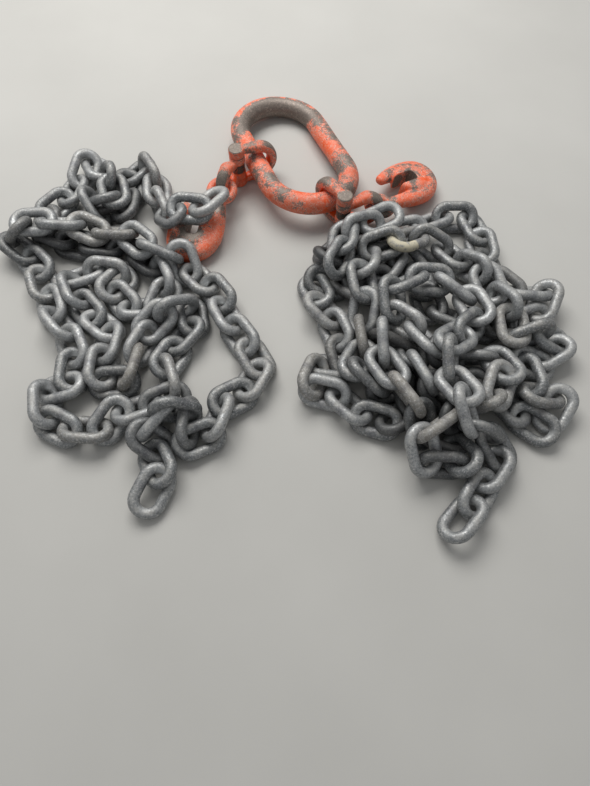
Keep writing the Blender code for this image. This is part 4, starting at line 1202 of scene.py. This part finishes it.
# %% Orange paint
def orange_paint():
    """Orange enamel, faded, chipped, scraped and soiled, over brown grey steel."""
    material, tree, shader = fresh_material("orange_enamel_worn_on_forged_steel")
    place = node(tree, "TexCoord")["Object"]
    look = node(tree, "Attribute", {"attribute_name": "paint_look"})
    own = node(tree, "SeparateColor", None, {0: look["Color"]})
    bare, shelter, grime = own[0], own[1], own[2]
    facing = node(tree, "SeparateXYZ", None, {0: node(tree, "NewGeometry")["Normal"]})[2]
    # wear patches of about 25 mm with ragged edges
    patch = node(tree, "TexNoise", None, {"Vector": place, "Scale": 1 / 0.025, "Detail": 10.0,
                                          "Roughness": 0.8, "Distortion": 0.6})["Fac"]
    # whole stretches are worn more than others, over about 70 mm
    zone = node(tree, "TexNoise", None, {"Vector": place, "Scale": 1 / 0.07, "Detail": 2.0})["Fac"]
    zone = node(tree, "MapRange", None, {0: zone, 1: 0.35, 2: 0.65, 3: -0.12, 4: 0.1})[0]
    patch_here = node(tree, "Math", {"operation": "ADD"}, {0: zone, 1: patch})[0]
    rubbed = node(tree, "Math", {"operation": "MULTIPLY_ADD"}, {0: facing, 1: 0.05, 2: patch_here})[0]
    exposed = node(tree, "Math", {"operation": "MULTIPLY_ADD"}, {0: bare, 1: 0.42, 2: rubbed})[0]
    exposed = node(tree, "Math", {"operation": "MULTIPLY_ADD"}, {0: shelter, 1: -0.35, 2: exposed})[0]
    # speckle breaks the edges up: really about 1 mm, drawn 3.5 mm across so that it shows
    speck = node(tree, "TexNoise", None, {"Vector": place, "Scale": 1 / 0.0035, "Detail": 5.0,
                                          "Roughness": 0.75})["Fac"]
    broken = node(tree, "Math", {"operation": "MULTIPLY_ADD"}, {0: speck, 1: 0.5, 2: exposed})[0]
    scuff = node(tree, "MapRange", None, {0: broken, 1: 0.6, 2: 0.82})[0]
    gone = node(tree, "MapRange", None, {0: broken, 1: 0.8, 2: 0.84})[0]
    fresh = node(tree, "Mix", {"data_type": "RGBA"}, {0: patch, 6: linear("#df4c12"), 7: linear("#f26422")})[2]
    # where it is scuffed the paint is paler and chalky, in blotches of about 6 mm
    chalk = node(tree, "TexNoise", None, {"Vector": place, "Scale": 1 / 0.006, "Detail": 6.0})["Fac"]
    faded = node(tree, "Mix", {"data_type": "RGBA"}, {0: chalk, 6: linear("#e25e38"), 7: linear("#ec9278")})[2]
    paint = node(tree, "Mix", {"data_type": "RGBA"}, {0: scuff, 6: fresh, 7: faded})[2]
    steel = node(tree, "Mix", {"data_type": "RGBA"}, {0: speck, 6: linear("#645c55"), 7: linear("#81776f")})[2]
    body = node(tree, "Mix", {"data_type": "RGBA"}, {0: gone, 6: paint, 7: steel})[2]
    # pale scrapes, thin lines that wind between blotches of 14 mm, drawn coarser than 1 mm so that they show
    scrape = node(tree, "TexNoise", None, {"Vector": place, "Scale": 1 / 0.014, "Detail": 3.0,
                                           "Distortion": 2.4})["Fac"]
    scrape = node(tree, "Math", {"operation": "COMPARE"}, {0: scrape, 1: 0.53, 2: 0.022})[0]
    scrape = node(tree, "Math", {"operation": "MULTIPLY"}, {0: scrape, 1: scuff})[0]
    scrape = node(tree, "Math", {"operation": "MULTIPLY"},
                  {0: scrape, 1: node(tree, "MapRange", None, {0: gone, 3: 1.0, 4: 0.25})[0]})[0]
    body = node(tree, "Mix", {"data_type": "RGBA"}, {0: scrape, 6: body, 7: linear("#dccabd")})[2]
    # grey dirt where hands and floor have been, in clouds of about 28 mm
    soil = node(tree, "TexNoise", None, {"Vector": place, "Scale": 1 / 0.028, "Detail": 7.0})["Fac"]
    soil = node(tree, "Math", {"operation": "MULTIPLY_ADD"}, {0: soil, 1: 0.6, 2: grime})[0]
    dirt = node(tree, "MapRange", None, {0: soil, 1: 0.38, 2: 0.95, 4: 0.75})[0]
    body = node(tree, "Mix", {"data_type": "RGBA"}, {0: dirt, 6: body, 7: linear("#746a60")})[2]
    tree.links.new(body, shader.inputs["Base Color"])
    tree.links.new(node(tree, "Math", {"operation": "MULTIPLY"}, {0: gone, 1: 0.4})[0],
                   shader.inputs["Metallic"])
    rough = node(tree, "Mix", None, {0: scuff, 2: 0.36, 3: 0.62})[0]
    rough = node(tree, "Mix", None, {0: gone, 2: rough, 3: 0.5})[0]
    rough = node(tree, "Mix", None, {0: dirt, 2: rough, 3: 0.85})[0]
    tree.links.new(rough, shader.inputs["Roughness"])
    # the paint film is about 0.15 mm thick and drawn twice that so that its edge shows, over a skin with
    # the 6 mm waves of a forging
    film = node(tree, "Bump", {"invert": True}, {"Height": gone, "Strength": 0.8, "Distance": 0.0003})["Normal"]
    waves = node(tree, "Bump", None, {"Height": chalk, "Strength": 0.5, "Distance": 0.0009,
                                      "Normal": film})["Normal"]
    peel = node(tree, "Bump", None, {"Height": speck, "Strength": 0.35, "Distance": 0.0004,
                                     "Normal": waves})["Normal"]
    tree.links.new(peel, shader.inputs["Normal"])
    return material


enamel = orange_paint()
print("enamel nodes:", len(enamel.node_tree.nodes))

# %% [markdown]
# ## The oblong ring
# The ring is one round bar, bent and welded, and uneven from the hammer. The far bend has lost its paint on
# the inside, where it hangs on the crane hook, so that place is marked bare. The right side is the one that
# was dragged over floors: a little duller and browner.

# %% Ring
RING_SIDES = 40
RING_STEPS = 44
RING_SPACING = 0.006


def evened(path, step):
    """Points a step apart round a closed line."""
    path = np.array(path + path[:1])
    run = np.concatenate([[0.0], np.cumsum(np.hypot(*(path[1:] - path[:-1]).T))])
    marks = np.linspace(0, run[-1], int(run[-1] / step), endpoint=False)
    return rows(np.interp(marks, run, path[:, 0]), np.interp(marks, run, path[:, 1]))


ring_line = evened(master_loop(RING_STEPS), RING_SPACING)
turn = np.linspace(0, 2 * np.pi, len(ring_line), endpoint=False)
uneven = 1 + 0.008 * np.sin(5 * turn + 1.0) + 0.006 * np.sin(9 * turn + 2.5) - 0.004
ring_points = bar_points(ring_line, MASTER_WIRE / 2 * uneven, MASTER_WIRE / 2 * uneven, RING_SIDES, closed=True)
inside = 0.5 + 0.5 * np.cos(np.arange(RING_SIDES) * (2 * np.pi / RING_SIDES))
far_bend = smooth_step(-ring_line[:, 0], 0.085, 0.125)
bare = far_bend[:, None] * smooth_step(inside, 0.35, 0.75)
near_bend = smooth_step(ring_line[:, 0], 0.07, 0.15)
dragged = smooth_step(ring_line[:, 1], 0.03, 0.06) * smooth_step(ring_line[:, 0], -0.06, 0.03)
bare = np.maximum(bare, 0.03 * dragged[:, None])
grime = 0.25 * near_bend[:, None] * (1 - inside) + 0.1 * dragged[:, None]
data = mesh_of("oblong_ring", ring_points, ring_faces(len(ring_line), RING_SIDES, True))
write_look(data, "paint_look", bare.ravel(), np.zeros(bare.size), grime.ravel())
data.transform(seat(ring_plane))
add_piece("oblong_ring", data, enamel, "painted_forging", "master_link")
print("ring faces:", len(data.polygons))

# %% [markdown]
# ## Forgings
# A forging has no sharp edges: the dies leave every corner round and every joint blended. The quick way to
# that look is to join plain swept and turned solids with exact Booleans, remesh the result into small even
# faces and smooth it. The Booleans keep the sizes true, and the smoothing makes the blends.

# %% A turned solid
TURNED_SIDES = 48


def turned_solid(profile, sides=TURNED_SIDES):
    """Points and faces of a lathe shape about the z axis, from radii and heights listed bottom to top.

    Listed so, its faces look inward. It still joins well, but as a cutter it cuts nothing.
    """
    angle = np.arange(sides) * (2 * np.pi / sides)
    points = [(r * np.cos(a), r * np.sin(a), z) for r, z in profile for a in angle]
    return np.array(points), ring_faces(len(profile), sides, False)


def solid_object(name, points, faces, place=None):
    """A working object for the Booleans."""
    data = mesh_of(name, points, faces)
    if place is not None:
        data.transform(place)
    return put_in_scene(name, data)


# %% Joining, remeshing and smoothing
SMOOTH_ROUNDS = 6


def forged(name, base, joined, cut, voxel):
    """One mesh from a base, what is joined to it and what is cut from it, with its corners rounded."""
    for operation, others in (("UNION", joined), ("DIFFERENCE", cut)):
        for other in others:
            step = base.modifiers.new(operation.lower(), "BOOLEAN")
            step.operation = operation
            step.solver = "EXACT"
            step.object = other
    remesh = base.modifiers.new("even", "REMESH")
    remesh.mode = "VOXEL"
    remesh.voxel_size = voxel
    smooth = base.modifiers.new("blend", "SMOOTH")
    smooth.factor = 0.5
    smooth.iterations = SMOOTH_ROUNDS
    graph = bpy.context.evaluated_depsgraph_get()
    data = bpy.data.meshes.new_from_object(base.evaluated_get(graph))
    data.name = name
    for used in [base] + joined + cut:
        bpy.data.objects.remove(used)
    return data


def mesh_points(data):
    """The points and normals of a mesh as arrays."""
    points = np.zeros(len(data.vertices) * 3)
    normals = np.zeros(len(data.vertices) * 3)
    data.vertices.foreach_get("co", points)
    data.vertex_normals.foreach_get("vector", normals)
    return points.reshape(-1, 3), normals.reshape(-1, 3)


# %% [markdown]
# ## Coupling halves
# A coupling is two bent halves that meet on one pin. Each half has an eye at the end of each arm, and the
# arms swell into the bow. The inside of the bow keeps its bright paint, because only the ring or the hook
# touches it.

# %% Coupling halves
FORGED_SQUARE = 2.7
EYE_ROUND = 0.002
HALF_VOXEL = 0.0014
ARM_SIDES = 28
BORE_HALF = 0.1
LAY_ALONG_SECOND = Matrix.Rotation(-np.pi / 2, 4, "X")


def round_cylinder(radius, low, high, soft):
    """A turned cylinder with broken edges."""
    return turned_solid([(radius - soft, low), (radius, low + soft), (radius, high - soft), (radius - soft, high)])


def coupling_half(name, arm, bow_radius, reach, thick):
    """A coupling half in its own plane, with its wear written on its points."""
    path, radii = half_path(arm, bow_radius, reach, steps=10)
    fine = smooth_path(np.array([(a, b, r) for (a, b), r in zip(path, radii)]), steps=6)
    points = bar_points(fine[:, :2], fine[:, 2], fine[:, 2] * COUPLING_BROAD, ARM_SIDES, FORGED_SQUARE)
    base = solid_object(name, points, ring_faces(len(fine), ARM_SIDES, False))
    eyes = []
    for middle in (arm, -arm):
        points, faces = round_cylinder(EYE_RADIUS, middle - thick / 2, middle + thick / 2, EYE_ROUND)
        eyes.append(solid_object("eye", points, faces, LAY_ALONG_SECOND))
    points, faces = turned_solid([(PIN_RADIUS + GAP, -BORE_HALF), (PIN_RADIUS + GAP, BORE_HALF)])
    # the bore's faces look inward, so it cuts nothing, and the eyes stay closed round their pin
    bore = solid_object("bore", points, faces, LAY_ALONG_SECOND)
    data = forged(name, base, eyes, [bore], HALF_VOXEL)
    points, normals = mesh_points(data)
    to_middle = np.array((reach - bow_radius, 0.0, 0.0)) - points
    inward = dot(normals, to_middle / length(to_middle)[:, None])
    shelter = smooth_step(inward, 0.25, 0.6) * smooth_step(points[:, 0], 0.0, 0.02)
    bare = smooth_step(-inward, 0.75, 0.95) * smooth_step(points[:, 0], reach - 0.03, reach) * 0.8
    eye_face = smooth_step(np.abs(points[:, 1]), arm + thick / 2 - 0.003, arm + thick / 2)
    bare = np.maximum(bare, 0.55 * eye_face * smooth_step(-points[:, 0], -0.02, 0.0))
    write_look(data, "paint_look", bare, shelter, 0.25 * (1 - shelter))
    return data


for side, planes in sides.items():
    for half_name, arm, bow_radius, reach, thick in (
            ("upper", UPPER_ARM, UPPER_BOW_RADIUS, UPPER_BOW_REACH, OUTER_EYE_THICK),
            ("lower", LOWER_ARM, LOWER_BOW_RADIUS, LOWER_BOW_REACH, INNER_EYE_THICK)):
        data = coupling_half(f"half_{side}_{half_name}", arm, bow_radius, reach, thick)
        data.transform(seat(planes[half_name]))
        add_piece(f"half_{side}_{half_name}", data, enamel, "painted_forging", f"coupling_{side}_{half_name}")
        print(f"half_{side}_{half_name} faces:", len(data.polygons))

# %% [markdown]
# ## Pins and bushes
# Each coupling turns on a plain pin, ground and oiled, with a loose bush in the middle. Both are turned
# parts with broken edges. Handling has left them dark, with rings from the tool and smears of dust.

# %% Pin steel
def pin_steel():
    """Turned steel, dark with oil, with smears, flecks and rings from the tool."""
    material, tree, shader = fresh_material("turned_carbon_steel_oiled")
    place = node(tree, "TexCoord")["Object"]
    # smears of oil and dust, about 9 mm across
    smear = node(tree, "TexNoise", None, {"Vector": place, "Scale": 1 / 0.009, "Detail": 7.0,
                                          "Roughness": 0.65})["Fac"]
    body = node(tree, "Mix", {"data_type": "RGBA"}, {0: smear, 6: linear("#35302c"), 7: linear("#5f574f")})[2]
    # flecks of rust and of the forgings' paint, about 4 mm across
    fleck = node(tree, "TexNoise", None, {"Vector": place, "Scale": 1 / 0.004, "Detail": 5.0})["Fac"]
    fleck = node(tree, "MapRange", None, {0: fleck, 1: 0.55, 2: 0.63})[0]
    body = node(tree, "Mix", {"data_type": "RGBA"}, {0: fleck, 6: body, 7: linear("#a9573e")})[2]
    tree.links.new(body, shader.inputs["Base Color"])
    shader.inputs["Metallic"].default_value = 0.35
    tree.links.new(node(tree, "MapRange", None, {0: smear, 3: 0.35, 4: 0.65})[0], shader.inputs["Roughness"])
    # tool rings along the height, too fine to show and so drawn 1.6 mm apart
    rings = node(tree, "TexWave", {"bands_direction": "Z"}, {"Vector": place, "Scale": 1 / 0.0052,
                                                            "Distortion": 1.5})["Fac"]
    relief = node(tree, "Bump", None, {"Height": rings, "Strength": 0.25, "Distance": 0.0002})["Normal"]
    relief = node(tree, "Bump", None, {"Height": smear, "Strength": 0.4, "Distance": 0.0006,
                                       "Normal": relief})["Normal"]
    tree.links.new(relief, shader.inputs["Normal"])
    return material


oiled_steel = pin_steel()
print("pin steel nodes:", len(oiled_steel.node_tree.nodes))

# %% Pins and bushes
PIN_CHAMFER = 0.0018
CENTRE_MARK, CENTRE_RIM, CENTRE_DEEP = 0.004, 0.0055, 0.001
BUSH_CHAMFER = 0.001
SHARP_DEG = 35
for side, planes in sides.items():
    chamfer = PIN_RADIUS - PIN_CHAMFER
    points, faces = turned_solid([
        (CENTRE_MARK, -STACK + CENTRE_DEEP), (CENTRE_RIM, -STACK), (chamfer, -STACK),
        (PIN_RADIUS, -STACK + PIN_CHAMFER), (PIN_RADIUS, STACK - PIN_CHAMFER),
        (chamfer, STACK), (CENTRE_RIM, STACK), (CENTRE_MARK, STACK - CENTRE_DEEP)])
    data = mesh_of(f"load_pin_{side}", points, faces)
    data.flip_normals()  # a turned solid's faces look inward, and these are seen
    data.transform(seat(planes["pin"]))
    add_piece(f"load_pin_{side}", data, oiled_steel, "pin_steel", f"coupling_{side}_pin")
    data.set_sharp_from_angle(angle=np.radians(SHARP_DEG))
    inner, edge = PIN_RADIUS + GAP, BUSH_LENGTH / 2
    loop = [(inner, -edge), (BUSH_RADIUS - BUSH_CHAMFER, -edge), (BUSH_RADIUS, -edge + BUSH_CHAMFER),
            (BUSH_RADIUS, edge - BUSH_CHAMFER), (BUSH_RADIUS - BUSH_CHAMFER, edge), (inner, edge)]
    angle = np.arange(TURNED_SIDES) * (2 * np.pi / TURNED_SIDES)
    points = [(r * np.cos(a), r * np.sin(a), z) for a in angle for r, z in loop]
    data = mesh_of(f"spacer_bush_{side}", points, ring_faces(TURNED_SIDES, len(loop), True))
    data.transform(seat(planes["pin"]))
    add_piece(f"spacer_bush_{side}", data, oiled_steel, "pin_steel", f"coupling_{side}_bush")
    data.set_sharp_from_angle(angle=np.radians(SHARP_DEG))
    print(f"spacer_bush_{side} faces:", len(data.polygons))

# %% [markdown]
# ## Grab hooks
# A grab hook shortens a leg: a link drops edge first into its narrow slot and its neighbour bears on the
# saddle beside the slot. The body is one swelling bar from the eye round to the tip, the saddle a thick
# round boss, and the slot a straight cut with a round floor, its inner faces worn dark. The real boss has a
# shallow dish beside the slot, where a link would sit.

# %% Grab hooks
HOOK_VOXEL = 0.0016
HOOK_SQUARE = 2.4
SADDLE_SOFT = 0.009
DISH_RADIUS = 0.026
DISH_DEPTH = 0.006
DISH_INSET = 0.004
SLOT_HALF_HEIGHT = 0.06
HOOK_SIDES = 32
HOOK_EYE_STEPS = 48
HOOK_EYE_SIDES = 24
DOME_STEPS = 6


def hook_bar():
    """The hook's bar as rings of points, its tip closed by a dome."""
    fine = smooth_path(np.array(HOOK_BODY), steps=10)
    tip, behind = fine[-1], fine[-2]
    ahead = (tip[:2] - behind[:2]) / np.hypot(*(tip[:2] - behind[:2]))
    dome = []
    for k in range(1, DOME_STEPS):
        angle = 0.5 * np.pi * k / DOME_STEPS
        dome.append((*(tip[:2] + ahead * tip[2] * 0.8 * np.sin(angle)), tip[2] * np.cos(angle)))
    fine = np.vstack([fine, dome])
    points = bar_points(fine[:, :2], fine[:, 2], fine[:, 2] * HOOK_FLATTEN, HOOK_SIDES, HOOK_SQUARE)
    return points, ring_faces(len(fine), HOOK_SIDES, False)


def grab_hook(name):
    """A hook in its own plane, with its wear written on its points."""
    base = solid_object(name, *hook_bar())
    ring = np.array(hook_eye(HOOK_EYE_STEPS))
    eye_points = bar_points(ring, HOOK_EYE_WIRE / 2, HOOK_EYE_WIRE / 2, HOOK_EYE_SIDES, closed=True)
    eye = solid_object("eye", eye_points, ring_faces(HOOK_EYE_STEPS, HOOK_EYE_SIDES, True))
    at_saddle = Matrix.Translation((SADDLE_ALONG, SADDLE_ACROSS, 0.0))
    high = SADDLE_THICK / 2
    saddle = solid_object("saddle", *turned_solid(
        [(SADDLE_RADIUS - SADDLE_SOFT, -high), (SADDLE_RADIUS - 0.3 * SADDLE_SOFT, -high + 0.3 * SADDLE_SOFT),
         (SADDLE_RADIUS, -high + SADDLE_SOFT), (SADDLE_RADIUS, high - SADDLE_SOFT),
         (SADDLE_RADIUS - 0.3 * SADDLE_SOFT, high - 0.3 * SADDLE_SOFT), (SADDLE_RADIUS - SADDLE_SOFT, high)]),
        at_saddle)
    half_slot = HOOK_SLOT / 2
    floor_angle = np.linspace(-np.pi / 2, np.pi / 2, 13)
    outline = [(HOOK_SLOT_START, -half_slot)]
    outline += [(HOOK_SLOT_END - 0.5 * half_slot + 0.5 * half_slot * np.cos(a), half_slot * np.sin(a))
                for a in floor_angle]
    outline += [(HOOK_SLOT_START, half_slot)]
    count = len(outline)
    slot_points = [(a, HOOK_SLOT_ACROSS + b, z) for z in (-SLOT_HALF_HEIGHT, SLOT_HALF_HEIGHT)
                   for a, b in outline]
    slot_faces = [list(reversed(range(count))), list(range(count, 2 * count))]
    slot_faces += [[k, (k + 1) % count, count + (k + 1) % count, count + k] for k in range(count)]
    slot = solid_object("slot", slot_points, slot_faces)
    # the dishes' faces look inward too, so they cut nothing, and the boss stays flat beside the slot
    dishes = []
    for way in (-1, 1):
        ball = [(DISH_RADIUS * np.cos(a), DISH_RADIUS * np.sin(a)) for a in np.linspace(-1.45, 1.45, 18)]
        lift = way * (high - DISH_DEPTH + DISH_RADIUS)
        dishes.append(solid_object("dish", *turned_solid(ball, 32), Matrix.Translation(
            (HOOK_SLOT_END - DISH_INSET, HOOK_SLOT_ACROSS, lift))))
    data = forged(name, base, [eye, saddle], [slot] + dishes, HOOK_VOXEL)
    points, normals = mesh_points(data)
    to_slot = np.array((0.095, HOOK_SLOT_ACROSS, 0.0)) - points
    inward = dot(normals, to_slot / length(to_slot)[:, None])
    bare = 0.75 * smooth_step(inward, 0.35, 0.8) * smooth_step(points[:, 0], 0.05, 0.09)
    hidden = np.hypot(points[:, 0] - SADDLE_ALONG, points[:, 1] - HOOK_SLOT_ACROSS)
    bare = np.maximum(bare, 0.3 * smooth_step(-hidden, -0.035, -0.015))
    shelter = 0.8 * smooth_step(points[:, 1], 0.08, 0.1)
    write_look(data, "paint_look", bare, shelter, 0.15 * (1 - shelter))
    return data


for side, planes in sides.items():
    data = grab_hook(f"grab_hook_{side}")
    data.transform(seat(planes["hook"]))
    add_piece(f"grab_hook_{side}", data, enamel, "painted_forging", f"hook_{side}")
    print(f"grab_hook_{side} faces:", len(data.polygons))
